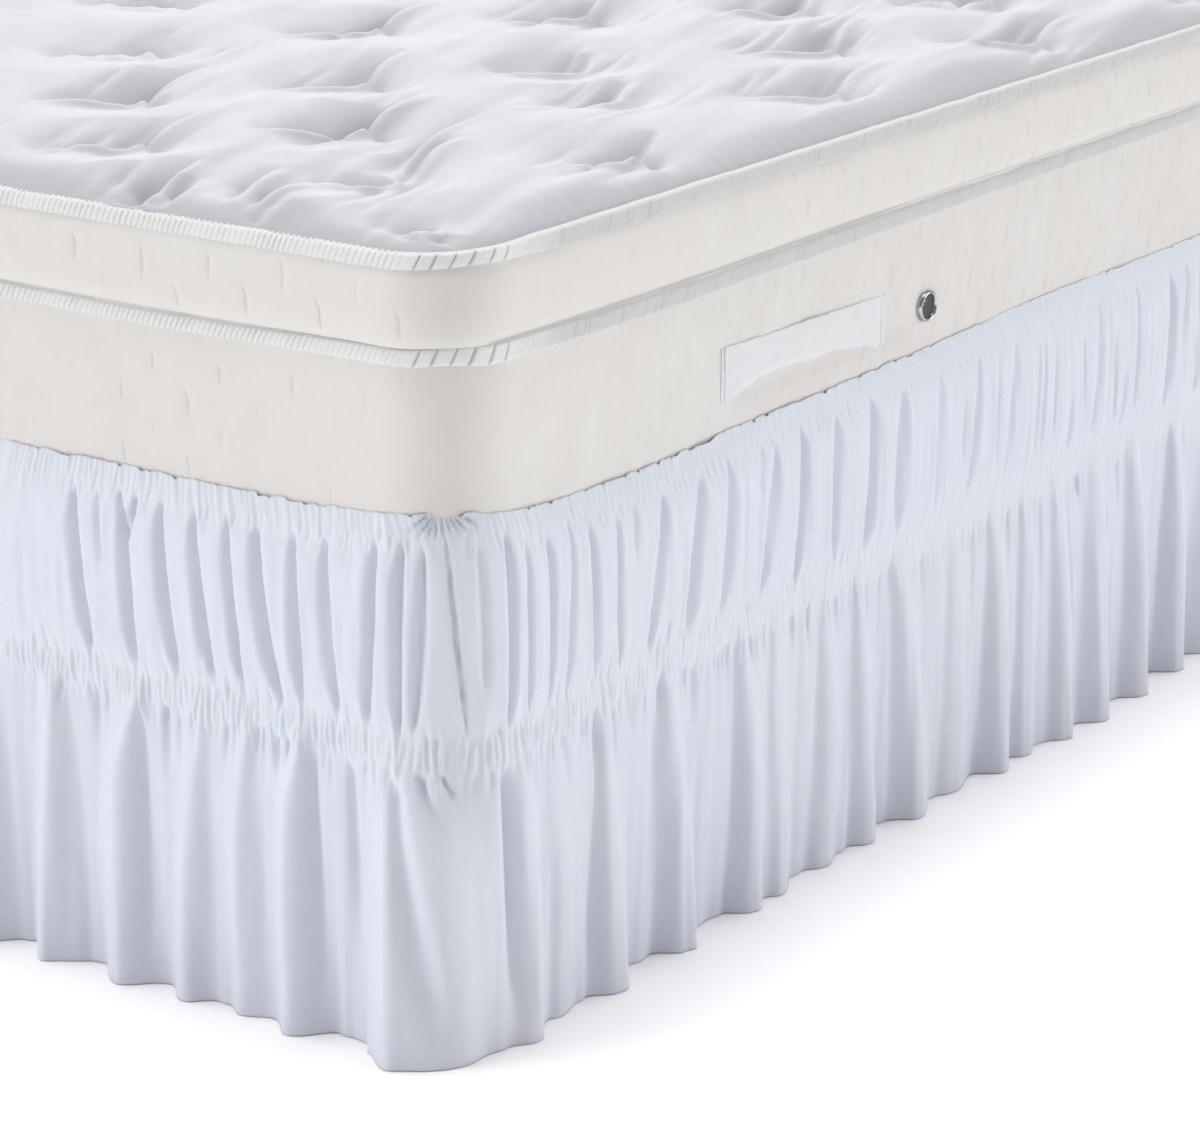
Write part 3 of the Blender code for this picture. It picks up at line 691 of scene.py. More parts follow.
def fold_line(at, height):
    """Stand-off of the lower tier's cloth, fully open, at one height."""
    marks = (0.04, 0.10, 0.20, 0.25)
    nodes = []
    count = len(FOLDS)
    narrow = float(np.interp(height, (0.04, 0.12, 0.20, 0.25), (1.0, 0.88, 0.64, 0.38)))
    for i, fold in enumerate(FOLDS):
        tip, knee, mid, foot = fold["line"]
        line = float(np.interp(height, marks, (foot, mid, knee, tip)))
        half = fold["half"] * narrow
        fall = fold["fall"] * (0.55 + 0.45 * narrow)
        flat = fold["flat"] * (2.0 - narrow)
        if fold["side"] > 0:
            after = FOLDS[(i + 1) % count]["dip"]
            # steep at first, then easing towards the crest
            nodes += [(line - half, fold["dip"], 1), (line + half, fold["crest"], 0),
                      (line + half + fall, after, 0)]
        else:
            before = FOLDS[(i - 1) % count]["dip"]
            crest = line - half
            nodes += [(crest - flat - fall, before, 0)]
            if flat > 0:
                nodes += [(crest - flat, fold["crest"], 0)]
            nodes += [(crest, fold["crest"], -1), (line + half, fold["dip"], 0)]
    xs = np.array([n[0] for n in nodes])
    ys = np.array([n[1] for n in nodes])
    ease = np.array([n[2] for n in nodes])
    for i in range(1, len(xs)):
        xs[i] = max(xs[i], xs[i - 1] + 0.0008)
    xs = np.concatenate([xs - GIRTH, xs, xs + GIRTH])
    ys = np.concatenate([ys, ys, ys])
    ease = np.concatenate([ease, ease, ease])
    order = np.argsort(xs, kind="stable")
    xs, ys, ease = xs[order], ys[order], ease[order]
    i = np.clip(np.searchsorted(xs, at) - 1, 0, len(xs) - 2)
    t = (at - xs[i]) / (xs[i + 1] - xs[i])
    even = step(t)
    quick = 0.62 * step(t / 0.66) + 0.38 * even
    share = np.where(ease[i] > 0, quick, even)
    found = ys[i] + (ys[i + 1] - ys[i]) * share
    # the corner's own fold
    shrink = float(np.interp(height, marks, (1.0, 1.0, 0.90, 0.78)))
    sway = float(np.interp(height, marks, (0.0, -0.001, -0.005, -0.008)))
    own = smooth_table(CORNER_FOLD, (at - sway) / shrink, 0.0022)
    blend = step((at + 0.066) / 0.008) * (1 - step((at - 0.021) / 0.007))
    return found * (1 - blend) + own * blend


def skirt_surface(at, heights):
    """Outward stand-off for every height (rows) and place (columns)."""
    z = np.asarray(heights)[:, None]
    corner = (step((at + 0.062) / 0.02) * (1 - step((at - 0.010) / 0.02)))[None, :]
    beyond = step((at - 0.030) / 0.02)[None, :]
    open_here = smooth_table(OPEN, z, 0.006) * (1 - beyond) + smooth_table(OPEN, z, 0.006, 3) * beyond
    open_here = open_here * (1 - corner) + smooth_table(OPEN, z, 0.006, 2) * corner
    puff = smooth_table(PUFF, z, 0.004)
    out = np.repeat(puff, len(at), axis=1)
    for row, height in enumerate(heights):
        if height < 0.285:
            out[row] += open_here[row] * (fold_line(at, height) - puff[row, 0])
    # the cloth between the broad folds isn't flat
    calm = np.interp(z, (0.0, 0.10, 0.20, 0.26, 0.28), (0.0022, 0.0020, 0.0015, 0.0008, 0.0))
    out = out + calm * rough(21, at[None, :] / 0.022 + z * 2.0, z / 0.16)
    out = out + 0.65 * calm * rough(22, at[None, :] / 0.009, z / 0.12 + 3.0)

    # narrow hollows of the upper tier
    left = np.ones(out.shape)
    for fold in UPPERS:
        head, middle, foot = fold["line"]
        t = np.clip((fold["head"] - z) / (fold["head"] - fold["foot"]), 0.0, 1.0)
        line = head * (1 - t) * (1 - 2 * t) + 4 * middle * t * (1 - t) + foot * t * (2 * t - 1)
        ends = step(t / 0.32) * step((1 - t) / 0.34)
        width = fold["width"] * (0.18 + 0.82 * np.sqrt(ends)) * (
            1 + 0.16 * rough(23, z / 0.035, fold["head"] * 90 + head * 700))
        deep = fold["depth"] * np.where((t > 0) & (t < 1), step(t / 0.12) * step((1 - t) / 0.16), 0.0)
        low = min(fold["line"]) - 2.2 * fold["width"]
        high = max(fold["line"]) + 2.2 * fold["width"]
        for part, turn in near_columns(at, low, high):
            x = (at[part][None, :] + turn - line) / width
            if fold["shape"] > 0:
                x = np.where(x > 0, x, x * 2.0)
            elif fold["shape"] < 0:
                x = np.where(x < 0, x, x * 2.0)
            else:
                x = x * 1.2
            cut = 1 - step(np.abs(x))
            left[:, part] *= 1 - np.clip(0.80 * deep * cut, 0.0, 0.98)
    shirr = smooth_table(((0.27, 0.0), (0.283, 0.0022), (0.292, 0.0070), (0.305, 0.0115),
                          (0.33, 0.0140), (0.38, 0.0142), (0.41, 0.0132), (0.428, 0.0095),
                          (0.440, 0.0045), (0.455, 0.0010)), z, 0.003)
    milder = np.interp(at, (-0.10, 0.10, 0.40, 0.90), (0.92, 0.76, 0.74, 0.70))[None, :]
    out = out - shirr * milder * (1 - left)
    tier = np.interp(z, (0.283, 0.31, 0.40, 0.43), (0.0, 0.0011, 0.0011, 0.0))
    out = out + tier * rough(24, at[None, :] / 0.0075, z / 0.07)
    streak = np.interp(z, (0.285, 0.31, 0.41, 0.435), (0.0, 0.00045, 0.00045, 0.0))
    out = out + streak * rough(25, at[None, :] / 0.0034, z / 0.09) * np.interp(
        at, (-0.5, -0.05, 0.0, 0.65, 0.80, 1.3), (0.5, 0.5, 0.8, 0.6, 1.4, 1.4))[None, :]

    # pointed folds below the band
    for head, foot, z_head, z_foot, width_a, width_b, depth in POINTED:
        t = np.clip((z_head - z) / (z_head - z_foot), 0.0, 1.0)
        line = head + (foot - head) * t
        width = width_a + (width_b - width_a) * t
        last = 0.75 if z_foot < 0.01 else 0.40
        deep = depth * step(t / 0.12) * (1 - step((t - last) / (1 - last))) * (t > 0) * (t < 1)
        low, high = min(head, foot) - 0.03, max(head, foot) + 0.03
        for part, turn in near_columns(at, low, high):
            x = (at[part][None, :] + turn - line) / width
            out[:, part] -= deep * bell(x, 0.80)
    return out


# The knot at the corner of the lip: feet of its short dark creases, as
# place and height; they all start from one point.
KNOT = (-0.0060, 0.4740)
KNOT_CREASES = (
    (-0.0330, 0.4480), (-0.0255, 0.4430), (-0.0185, 0.4420), (-0.0125, 0.4410), (-0.0060, 0.4440),
    (0.0005, 0.4430), (0.0075, 0.4450), (0.0150, 0.4460), (0.0240, 0.4500),
)


def fine_gathers(at, heights, close, lift):
    """Small gathers of the two shirred rows and the short folds that run
    out of them; close (1 where the cloth is modelled finely) is not used;
    lift is the rise of each point over its tabled height."""
    z = np.asarray(heights)[:, None]
    zs = np.asarray(heights)
    total = np.zeros((len(heights), len(at)))
    relief = np.zeros(total.shape)

    def gather(seed, middle, reach, pitch, half, height, lean, calm):
        """A row of small upright ridges, pinched to points at both ends."""
        place, index = -GIRTH / 2, 0
        while place < GIRTH / 2:
            here = -0.47 < place < 1.24
            place += (pitch if here else 3.2 * pitch) * (1 + 0.38 * float(lattice(seed, index, 0)))
            tall = reach * (1 + 0.35 * float(lattice(seed, index, 1)))
            if float(lattice(seed, index, 2)) > 0.70:
                tall *= 1.7
            core = middle + 0.004 * float(lattice(seed, index, 3))
            tilt = float(np.interp(place, *lean)) + 0.16 * float(lattice(seed, index, 4))
            width = (half if here else 2.6 * half) * (1 + 0.25 * float(lattice(seed, index, 5)))
            rise = height * (0.8 + 0.35 * float(lattice(seed, index, 6))) * float(
                np.interp(place, *calm)) * (1.0 if here else 0.9)
            index += 1
            rows = np.nonzero(np.abs(zs - core) < tall)[0]
            if not len(rows):
                continue
            rows = slice(rows[0], rows[-1] + 1)
            t = (z[rows] - core) / tall
            ends = np.clip(1 - t ** 2, 0, 1)
            bow = 0.0012 * float(lattice(seed, index, 7)) * t ** 2
            for part, turn in near_columns(at, place - 0.02, place + 0.02):
                x = at[part][None, :] + turn - place - tilt * (z[rows] - core) - bow
                ridge = rise * ends ** 0.7 * bell(x, width * (0.40 + 0.60 * np.sqrt(ends)))
                relief[rows, part] = np.maximum(relief[rows, part], ridge)

    gather(31, 0.2700, 0.0160, 0.0054, 0.0023, 0.0031, ((-1, 1), (0.02, -0.02)),
           ((-0.5, 0.06, 0.20, 0.35, 0.55, 0.80, 1.30), (1.0, 1.0, 0.70, 0.48, 0.34, 0.16, 0.16)))
    gather(32, 0.4465, 0.0150, 0.0058, 0.0024, 0.0020,
           ((-0.45, -0.30, -0.22, -0.05, 0.05, 0.30), (-0.10, -0.20, -0.50, -0.45, 0.10, 0.30)),
           ((-0.5, 0.05, 0.20, 0.45, 0.80, 1.30), (1.0, 0.9, 0.55, 0.34, 0.22, 0.20)))
    total += relief

    # short folds that run out of the shirring, up and down
    for seed, start, way, reach, pitch, deep in ((41, 0.286, 1, 0.030, 0.0100, 0.0024),
                                                 (42, 0.256, -1, 0.042, 0.0110, 0.0030),
                                                 (43, 0.436, -1, 0.028, 0.0100, 0.0020)):
        place = -GIRTH / 2
        index = 0
        while place < GIRTH / 2:
            here = -0.45 < place < 1.25
            place += (pitch if here else 0.028) * (1.0 + 0.45 * float(lattice(seed, index, 1)))
            index += 1
            length = reach * (0.40 + 0.85 * abs(float(lattice(seed, index, 2))))
            width = (0.0022 if here else 0.0065) * (1.0 + 0.35 * float(lattice(seed, index, 3)))
            tilt = 0.12 * float(lattice(seed, index, 4))
            soft = float(np.interp(place, (-0.5, 0.35, 0.7, 1.3), (1.0, 1.0, 0.55, 0.40)))
            depth = deep * soft * (1.0 if here else 0.35) * (0.55 + 0.45 * float(lattice(seed, index, 5)))
            t = np.clip((z - start) * way / length, -1.0, 1.0)
            shape = np.where(t >= 0, (1 - step(t)), step(1 + t * 4.0))
            line = place + tilt * (z - start)
            for part, turn in near_columns(at, place - 0.02, place + 0.02):
                x = (at[part][None, :] + turn - line) / (width * (0.6 + 0.6 * np.clip(t, 0, 1)))
                total[:, part] -= depth * shape * bell(x, 1.0)
    # the knot: creases spreading from one point, with the cloth heaped over it
    for part, turn in near_columns(at, -0.06, 0.05):
        u = at[part][None, :] + turn
        h = z + lift[:, part]
        total[:, part] += 0.0035 * np.exp(-((u - KNOT[0]) / 0.016) ** 2 - ((h - KNOT[1]) / 0.012) ** 2)
        for foot_u, foot_z in KNOT_CREASES:
            du, dz = foot_u - KNOT[0], foot_z - KNOT[1]
            long = math.hypot(du, dz)
            s = ((u - KNOT[0]) * du + (h - KNOT[1]) * dz) / long
            off = ((u - KNOT[0]) * -dz + (h - KNOT[1]) * du) / long
            deep = step((s - 0.004) / 0.006) * (1 - step((s - 0.60 * long) / (0.40 * long)))
            total[:, part] -= 0.0038 * deep * bell(off, 0.0013)
    return total


def build_skirt():
    at = spaced(((-3.3, -1.30, 0.0062), (-1.30, -0.46, 0.0028), (-0.46, 1.24, 0.00122),
                 (1.24, 1.92, 0.0042), (1.92, 3.3, 0.0062)), even=True)
    close = step((at + 0.47) / 0.02) * (1 - step((at - 1.23) / 0.02))
    heights = np.array([h for _, rows in SKIRT_Z for h in rows])
    every = [pace for pace, rows in SKIRT_Z for _ in rows]
    z = np.repeat(heights[:, None], len(at), axis=1)
    lip = smooth_table(EDGE, at, 0.025, 1)[None, :]
    band = smooth_table(EDGE, at, 0.025, 2)[None, :]
    hem = smooth_table(EDGE, at, 0.025, 3)[None, :]
    lift = lip * np.interp(z, (0.362, 0.434), (0.0, 1.0))
    lift = lift + band * np.interp(z, (0.004, 0.150, 0.258, 0.283, 0.362, 0.434),
                                   (0.0, 0.5, 1.0, 1.0, 0.5, 0.0))
    lift = lift + hem * np.interp(z, (0.0008, 0.10), (1.0, 0.0))
    out = skirt_surface(at, heights) + fine_gathers(at, heights, close, lift)
    z = z + lift
    # ruffled lip: its edge goes up and down and in and out
    ruffle = np.clip((heights - 0.4480) / 0.009, 0.0, 1.2)[:, None] ** 1.5
    scallop = 0.6 * rough(51, at / 0.0060) + 0.4 * rough(52, at / 0.0150)
    z = z + ruffle * 0.0012 * scallop[None, :]
    notch = np.clip(rough(53, at / 0.0100) + 0.35 * rough(55, at / 0.0040) - 0.30, 0.0, 0.45) / 0.45
    calm = np.interp(at, (-0.5, 0.6, 0.9, 1.3), (1.0, 1.0, 0.7, 0.7))
    z = z - ruffle * 0.0019 * (notch * calm)[None, :]
    out = out + ruffle * (0.0016 * notch * calm + 0.0006 * rough(54, at / 0.005) - 0.0006)[None, :]
    # turned edges give the cloth its thickness
    top = [(out[0] - 0.0018, z[0] - 0.0006), (out[0] - 0.0022, z[0] - 0.0060)]
    foot = [(out[-1] - 0.0004, z[-1] - 0.0004), (out[-1] - 0.0020, z[-1] + 0.0002),
            (out[-1] - 0.0024, z[-1] + 0.0080)]
    out = np.vstack([top[1][0], top[0][0], out, foot[0][0], foot[1][0], foot[2][0]])
    z = np.vstack([top[1][1], top[0][1], z, foot[0][1], foot[1][1], foot[2][1]])
    every = [2, 1] + every + [2, 2, 2]
    out = np.maximum(out, 0.0022 + 0.0030 * (1 - close)[None, :] * (z < 0.435))
    px, py, ox, oy = round_bed(at)
    points = np.stack([px + ox * out, py + oy * out, z], axis=-1)
    obj, triangles = lay_ring("bed_skirt_cloth", points, every, at, z)
    height = z - lip * np.interp(z, (0.362, 0.434), (0.0, 1.0)) - band * np.interp(
        z, (0.10, 0.25, 0.29, 0.36), (0.0, 1.0, 1.0, 0.0))
    shirred = smooth_table(((0.245, 0.0), (0.258, 1.0), (0.284, 1.0), (0.297, 0.0), (0.425, 0.0),
                            (0.437, 1.0), (0.48, 1.0)), height, 0.004)
    kept = np.concatenate([shirred[r, ::every[r]] for r in range(len(every))])
    mark(obj, "shirred", 0.75 * kept)
    widest = max(line_length(points[i]) for i in range(len(points)))
    down = np.linalg.norm(np.diff(points[1:-1], axis=0), axis=2).sum(axis=0)
    sys.stderr.write("skirt: hem %.3f m, lip %.3f m, widest %.3f m, mean height %.3f m, %d triangles\n" % (
        line_length(points[-3]), line_length(points[2]), widest, down.mean(), triangles))
    return obj


skirt = build_skirt()
skirt.data.materials.append(SKIRT_CLOTH)
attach(skirt, "root")
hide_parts("bed_skirt")


# ------------------------------------------------------------ mattress sides
def ring_of(name, at, rows, finish, node_name, out, z, slant=None, flip=False):
    """A band round the bed from stand-offs and heights, rows by columns."""
    places = at[None, :] + (0.0 if slant is None else slant)
    px, py, ox, oy = round_bed(places)
    points = np.stack([px + ox * out, py + oy * out, z + 0.0 * px], axis=-1)
    obj = lay_grid(name, points, True, (places, z), flip=flip)
    obj.data.materials.append(finish)
    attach(obj, "root")
    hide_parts(node_name)
    return obj


# Tapes: height of the lower and upper edge at places round the bed.
TAPE_MID_EDGES = (
    # at      foot    head
    (-0.60, 0.5800, 0.5938),
    (-0.38, 0.5808, 0.5938),
    (-0.28, 0.5790, 0.5926),
    (-0.18, 0.5818, 0.5945),
    (-0.13, 0.5828, 0.5962),
    (-0.08, 0.5826, 0.5972),
    (-0.03, 0.5830, 0.5975),
    (0.00, 0.5855, 0.6012),
    (0.03, 0.5825, 0.5990),
    (0.08, 0.5812, 0.5980),
    (0.18, 0.5792, 0.5948),
    (0.28, 0.5774, 0.5939),
    (0.53, 0.5774, 0.5939),
    (1.60, 0.5790, 0.5935),
)
TAPE_TOP_EDGES = (
    (-0.60, 0.6610, 0.6748),
    (-0.38, 0.6605, 0.6745),
    (-0.05, 0.6610, 0.6750),
    (0.00, 0.6640, 0.6765),
    (0.03, 0.6660, 0.6770),
    (0.08, 0.6634, 0.6770),
    (0.18, 0.6604, 0.6768),
    (0.28, 0.6604, 0.6768),
    (0.33, 0.6622, 0.6772),
    (0.43, 0.6622, 0.6772),
    (0.53, 0.6604, 0.6768),
    (1.60, 0.6620, 0.6755),
)

# Quilting marks of the borders beside the corner: short thin creases whose
# heads bend away from it, in staggered rows.
#   at, z head, z foot, bend, strength
BODY_MARKS = (
    (-0.291, 0.560, 0.543, 0.003, 1.0), (-0.220, 0.560, 0.543, 0.003, 1.0),
    (-0.145, 0.562, 0.545, 0.003, 1.0), (-0.070, 0.560, 0.545, 0.002, 0.5),
    (-0.326, 0.530, 0.512, 0.003, 0.8), (-0.255, 0.533, 0.510, 0.004, 1.0),
    (-0.182, 0.530, 0.520, 0.002, 0.5), (-0.292, 0.503, 0.487, 0.002, 0.5),
    (-0.220, 0.505, 0.490, 0.002, 0.5), (-0.325, 0.475, 0.456, 0.002, 0.8),
    (-0.255, 0.475, 0.456, 0.003, 0.9), (-0.107, 0.475, 0.457, 0.002, 0.5),
    (-0.328, 0.577, 0.567, 0.001, 0.5), (-0.362, 0.553, 0.541, 0.001, 0.5),
    (-0.036, 0.580, 0.568, 0.002, 0.7),
)
PILLOW_MARKS = (
    (-0.368, 0.651, 0.627, 0.005, 1.0), (-0.337, 0.622, 0.608, 0.002, 0.5),
    (-0.295, 0.650, 0.620, 0.005, 1.0), (-0.260, 0.623, 0.600, 0.004, 0.9),
    (-0.225, 0.655, 0.630, 0.005, 1.0), (-0.187, 0.634, 0.602, 0.005, 1.0),
    (-0.149, 0.656, 0.630, 0.005, 1.0), (-0.112, 0.634, 0.603, 0.008, 1.2),
    (-0.075, 0.652, 0.630, 0.003, 0.5), (-0.036, 0.633, 0.605, 0.004, 0.9),
    (-0.112, 0.661, 0.657, 0.000, 1.0),
)


def puckers(at, z, marks_here, low, high, seed, bent):
    """Creases by table beside the corner, and thin raised lines by rule
    elsewhere: leaning ones or, where bent is 1, ones folded like a wedge."""
    total = np.zeros(z.shape)
    painted_shade = np.zeros(z.shape)
    for u, head, foot, bend, strength in marks_here:
        for part, turn in near_columns(at, u - 0.03, u + 0.03):
            t = (z[:, part] - (head + foot) / 2) / ((head - foot) / 2)
            line = u - bend * np.maximum(t, 0.0) ** 2
            x = at[part][None, :] + turn - line
            ends = np.clip(1 - t ** 2, 0.0, 1.0)
            total[:, part] -= strength * ends * (0.0006 * bell(x, 0.0050) + 0.0007 * bell(x, 0.0011))
            total[:, part] += strength * ends * 0.0003 * bell(x - 0.008, 0.006)
            # painted shade: a dark line along the crease, carried into the border's colour
            painted_shade[:, part] = np.maximum(painted_shade[:, part], 0.8 * strength * bell(x, 0.0009) * np.sqrt(ends))
    pitch, rise = 0.0430, 0.0290
    tall = high - low
    levels = max(2, int(round(tall / rise)))
    for k in range(levels):
        h = low + tall * (k + 0.5) / levels
        place = -GIRTH / 2 + 0.5 * pitch * (k % 2)
        i = 0
        while place < GIRTH / 2:
            jitter = float(lattice(seed, i, k))
            u = place + 0.006 * jitter
            shown = float(np.interp(u, (-0.46, -0.40, 0.20, 0.34, 0.50), (1.0, 0.0, 0.0, 0.55, 1.0)))
            shown *= 0.75 + 0.35 * float(lattice(seed + 2, i, k))
            middle = h + 0.003 * float(lattice(seed + 1, i, k))
            half = 0.0115 + 0.002 * jitter
            place += pitch
            i += 1
            if shown <= 0.02:
                continue
            for part, turn in near_columns(at, u - 0.03, u + 0.03):
                t = (z[:, part] - middle) / half
                if bent:
                    line = u + 0.003 - 0.0065 * t ** 2 * (1.0 + 0.3 * jitter)
                else:
                    line = u + 0.0042 * t - 0.0020 * t ** 2
                x = at[part][None, :] + turn - line
                ends = np.clip(1 - t ** 2, 0.0, 1.0)
                ridge = bell(x, 0.0024) * 0.0011 - bell(x + 0.0055, 0.0048) * 0.0008
                total[:, part] += shown * ridge * ends
    return total, painted_shade


BORDER_ZONES = ((-3.3, -0.46, 0.0115), (-0.46, 0.06, 0.00120), (0.06, 1.24, 0.0024),
                (1.24, 1.92, 0.0075), (1.92, 3.3, 0.0115))

# Side of the mattress: how far the padding stands out.
BODY_SIDE = ((0.4225, -0.0060), (0.4240, -0.0030), (0.4300, -0.0005), (0.4420, 0.0012),
             (0.4530, 0.0029), (0.4650, 0.0034), (0.4740, 0.0034), (0.5000, 0.0040), (0.5400, 0.0040),
             (0.5600, 0.0032), (0.5740, 0.0022), (0.5830, 0.0010), (0.5858, 0.0004))
PILLOW_SIDE = ((0.5870, 0.0006), (0.5905, 0.0010), (0.5945, 0.0012), (0.5970, 0.0036),
               (0.6020, 0.0060), (0.6100, 0.0080), (0.6260, 0.0092), (0.6420, 0.0084),
               (0.6540, 0.0062), (0.6610, 0.0030), (0.6650, 0.0008), (0.6760, 0.0000))


def seam_drift(at):
    """How far the seam between the two mattress parts strays upwards."""
    return smooth_table(TAPE_MID_EDGES, at, 0.015, 2) - 0.5939


def border(name, node_name, side, low, high, count, marks_here, seed, extra_rows=()):
    at = spaced(BORDER_ZONES)
    rows = np.array(sorted(set(list(np.linspace(low, high, count)) + list(extra_rows))))
    rows = rows[::-1]
    flat_z = np.repeat(rows[:, None], len(at), axis=1)
    out = table(side, flat_z)
    drift = seam_drift(at)[None, :]
    z = flat_z + drift * np.exp(-np.abs(flat_z - SEAM_Z) / 0.018)
    edge_fade = step((flat_z - low) / 0.010) * step((high - flat_z) / 0.008)
    upper = node_name == "pillow_top"
    crease, painted_shade = puckers(at, z, marks_here, max(low, 0.450) + 0.004, high - 0.006, seed, upper)
    broad = 0.0009 * rough(seed + 5, at[None, :] / 0.050, z / 0.040) + 0.0004 * rough(
        seed + 6, at[None, :] / 0.018, z / 0.022)
    out = out + edge_fade * (crease + broad)
    if upper:
        # piping just above the seam on the long side, a thin gap on the foot end
        long_side = step((at - 0.02) / 0.03)[None, :] * (1 - 0.5 * step((at - 0.60) / 0.10))[None, :]
        out = out + long_side * (0.0034 * bell(flat_z - 0.5980, 0.0011) - 0.0016 * bell(
            flat_z - 0.5958, 0.0010))
        gap = (1 - step((at + 0.02) / 0.03))[None, :] * bell(flat_z - 0.5955, 0.0009)
        out = out - 0.0014 * gap
        # painted shade in the foot end's gap and under the piping, carried into the border's colour
        painted_shade = np.maximum(painted_shade, 0.7 * gap)
        painted_shade = np.maximum(painted_shade, 0.5 * long_side * bell(flat_z - 0.5960, 0.0008))
        edge_fade = np.ones(z.shape)
    else:
        # painted shade under the slack strip of the handle, carried into the border's colour
        y = at + ARC / 2 - CORNER_R + 0.0
        under = step((y - 0.372) / 0.02)[None, :] * (1 - step((y - 0.66) / 0.02))[None, :]
        painted_shade = np.maximum(painted_shade, 0.30 * under * bell(z - 0.474, 0.010))
    # the cloth draws up a little where the tape grips it
    pull = 0.0007 * rough(seed + 7, at[None, :] / 0.009) * np.exp(-(high - flat_z) / 0.006)
    out = out + pull
    obj = ring_of(name, at, rows, BORDER_CLOTH, node_name, out, z)
    mark(obj, "painted_border_shade", 0.60 * painted_shade * edge_fade)
    return obj


body_border = border("mattress_body_border", "mattress_body", BODY_SIDE, 0.4225, 0.5858, 34,
                     BODY_MARKS, 61)
pillow_border = border("pillow_top_border", "pillow_top", PILLOW_SIDE, 0.5872, 0.6752, 24,
                       PILLOW_MARKS, 71, (0.5930, 0.5944, 0.5951, 0.5958, 0.5965, 0.5972, 0.5980,
                                          0.5988, 0.5997, 0.6006))

# Underside of the mattress, hidden on the base.
under_at = spaced(((-3.3, 3.3, 0.03),))
px, py, ox, oy = round_bed(under_at)
rings = []
for inset in (0.006, 0.020, 0.050, 0.066):
    rings.append(np.stack([px - ox * inset, py - oy * inset, np.full(px.shape, 0.4224)], axis=-1))
for share in (0.9, 0.6, 0.3, 0.02):
    rings.append(np.stack([(px - ox * 0.066) * share, (py - oy * 0.066) * share,
                           np.full(px.shape, 0.4224)], axis=-1))
underside = lay_grid("mattress_underside", np.array(rings), True, None)
underside_uv = underside.data.uv_layers.new(name="cloth")
co = np.zeros(len(underside.data.vertices) * 3)
underside.data.vertices.foreach_get("co", co)
co = co.reshape(-1, 3)
loops = np.zeros(len(underside.data.loops), int)
underside.data.loops.foreach_get("vertex_index", loops)
underside_uv.data.foreach_set("uv", co[loops][:, :2].reshape(-1))
# the hidden underside gets none of the border's painted shade
mark(underside, "painted_border_shade", np.zeros(len(co)))
underside.data.materials.append(BORDER_CLOTH)
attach(underside, "root")


# --------------------------------------------------------------------- tapes
# Bold stitches where each tape turns the corner: place, half width.
BOLD = ((-0.024, 0.0010), (-0.011, 0.0014), (0.004, 0.0009), (0.019, 0.0016), (0.037, 0.0012),
        (0.052, 0.0009))


def tape(name, node_name, edges, pitch, slant, seed, base_out=0.0005, full=0.0034):
    """Bound edge with slanted overlock stitches pressed into it."""
    zones = ((-3.3, -0.46, pitch / 3), (-0.46, 0.12, pitch / 8), (0.12, 1.24, pitch / 5),
             (1.24, 3.3, pitch / 3))
    at = spaced(zones)
    share = np.array((-0.12, -0.02, 0.04, 0.15, 0.32, 0.50, 0.68, 0.85, 0.96, 1.02, 1.10))
    profile = np.array((-0.30, 0.10, 0.70, 0.90, 1.0, 1.0, 1.0, 0.92, 0.72, 0.0, -0.30))
    foot = smooth_table(edges, at, 0.015, 1)[None, :]
    head = smooth_table(edges, at, 0.015, 2)[None, :]
    z = foot + share[:, None] * (head - foot)
    lean = slant * (share[:, None] - 0.5) + 0.0008 * rough(seed, at[None, :] / 0.03)
    turns = at[None, :] / pitch + 0.30 * rough(seed + 1, at[None, :] / 0.06)
    rib = np.cos(2 * math.pi * turns)
    groove = np.clip((-rib - 0.35) / 0.65, 0.0, 1.0)
    ribbed = np.interp(at, (-0.60, -0.46, -0.045, -0.030, 0.055, 0.070, 0.110, 0.150, 1.24, 1.40),
                       (0.7, 1.0, 1.0, 0.15, 0.15, 0.55, 0.45, 0.10, 0.10, 0.6))[None, :]
    plain = np.interp(at, (0.06, 0.13, 1.24, 1.40), (0.0, 1.0, 1.0, 0.0))[None, :]
    inner = step((share[:, None] + 0.02) / 0.12) * step((1.02 - share[:, None]) / 0.12)
    uneven = 0.75 + 0.40 * rough(seed + 2, at[None, :] / 0.02)
    bold = np.zeros((1, len(at)))
    for place, half in BOLD:
        bold = np.maximum(bold, bell(at[None, :] - place, half))
    stroke = np.clip(rough(seed + 8, at[None, :] / 0.0035, share[:, None] * 0.8) - 0.25, 0.0, 1.0)
    out = base_out + full * profile[:, None] - inner * (
        0.0009 * groove * uneven * ribbed + 0.0013 * bold + 0.0006 * stroke * plain)
    out = out + 0.0003 * rough(seed + 3, at[None, :] / 0.011, share[:, None] * 2)
    z = z + 0.0004 * rough(seed + 4, at[None, :] / 0.03)
    z = z + 0.0004 * ribbed * np.clip(rib, -0.5, 1.0) * np.where(share[:, None] > 0.8, 1.0, 0.0)
    obj = ring_of(name, at, share, TAPE_CLOTH, node_name, out, z, slant=lean, flip=True)
    # painted shade: darker in the grooves between the ribs and in the bold stitches, and a painted shadow
    # over the plain tape along the long side
    shade = np.maximum(0.55 * groove * ribbed * uneven, 0.85 * bold)
    shade = np.maximum(shade, plain * (0.50 + 0.35 * stroke))
    mark(obj, "painted_tape_shade", np.clip(shade * inner, 0, 1))
    return obj


tape_mid = tape("tape_mid_stitched", "tape_mid", TAPE_MID_EDGES, 0.0058, 0.0066, 81)
tape_top = tape("tape_top_stitched", "tape_top", TAPE_TOP_EDGES, 0.0058, 0.0066, 91)


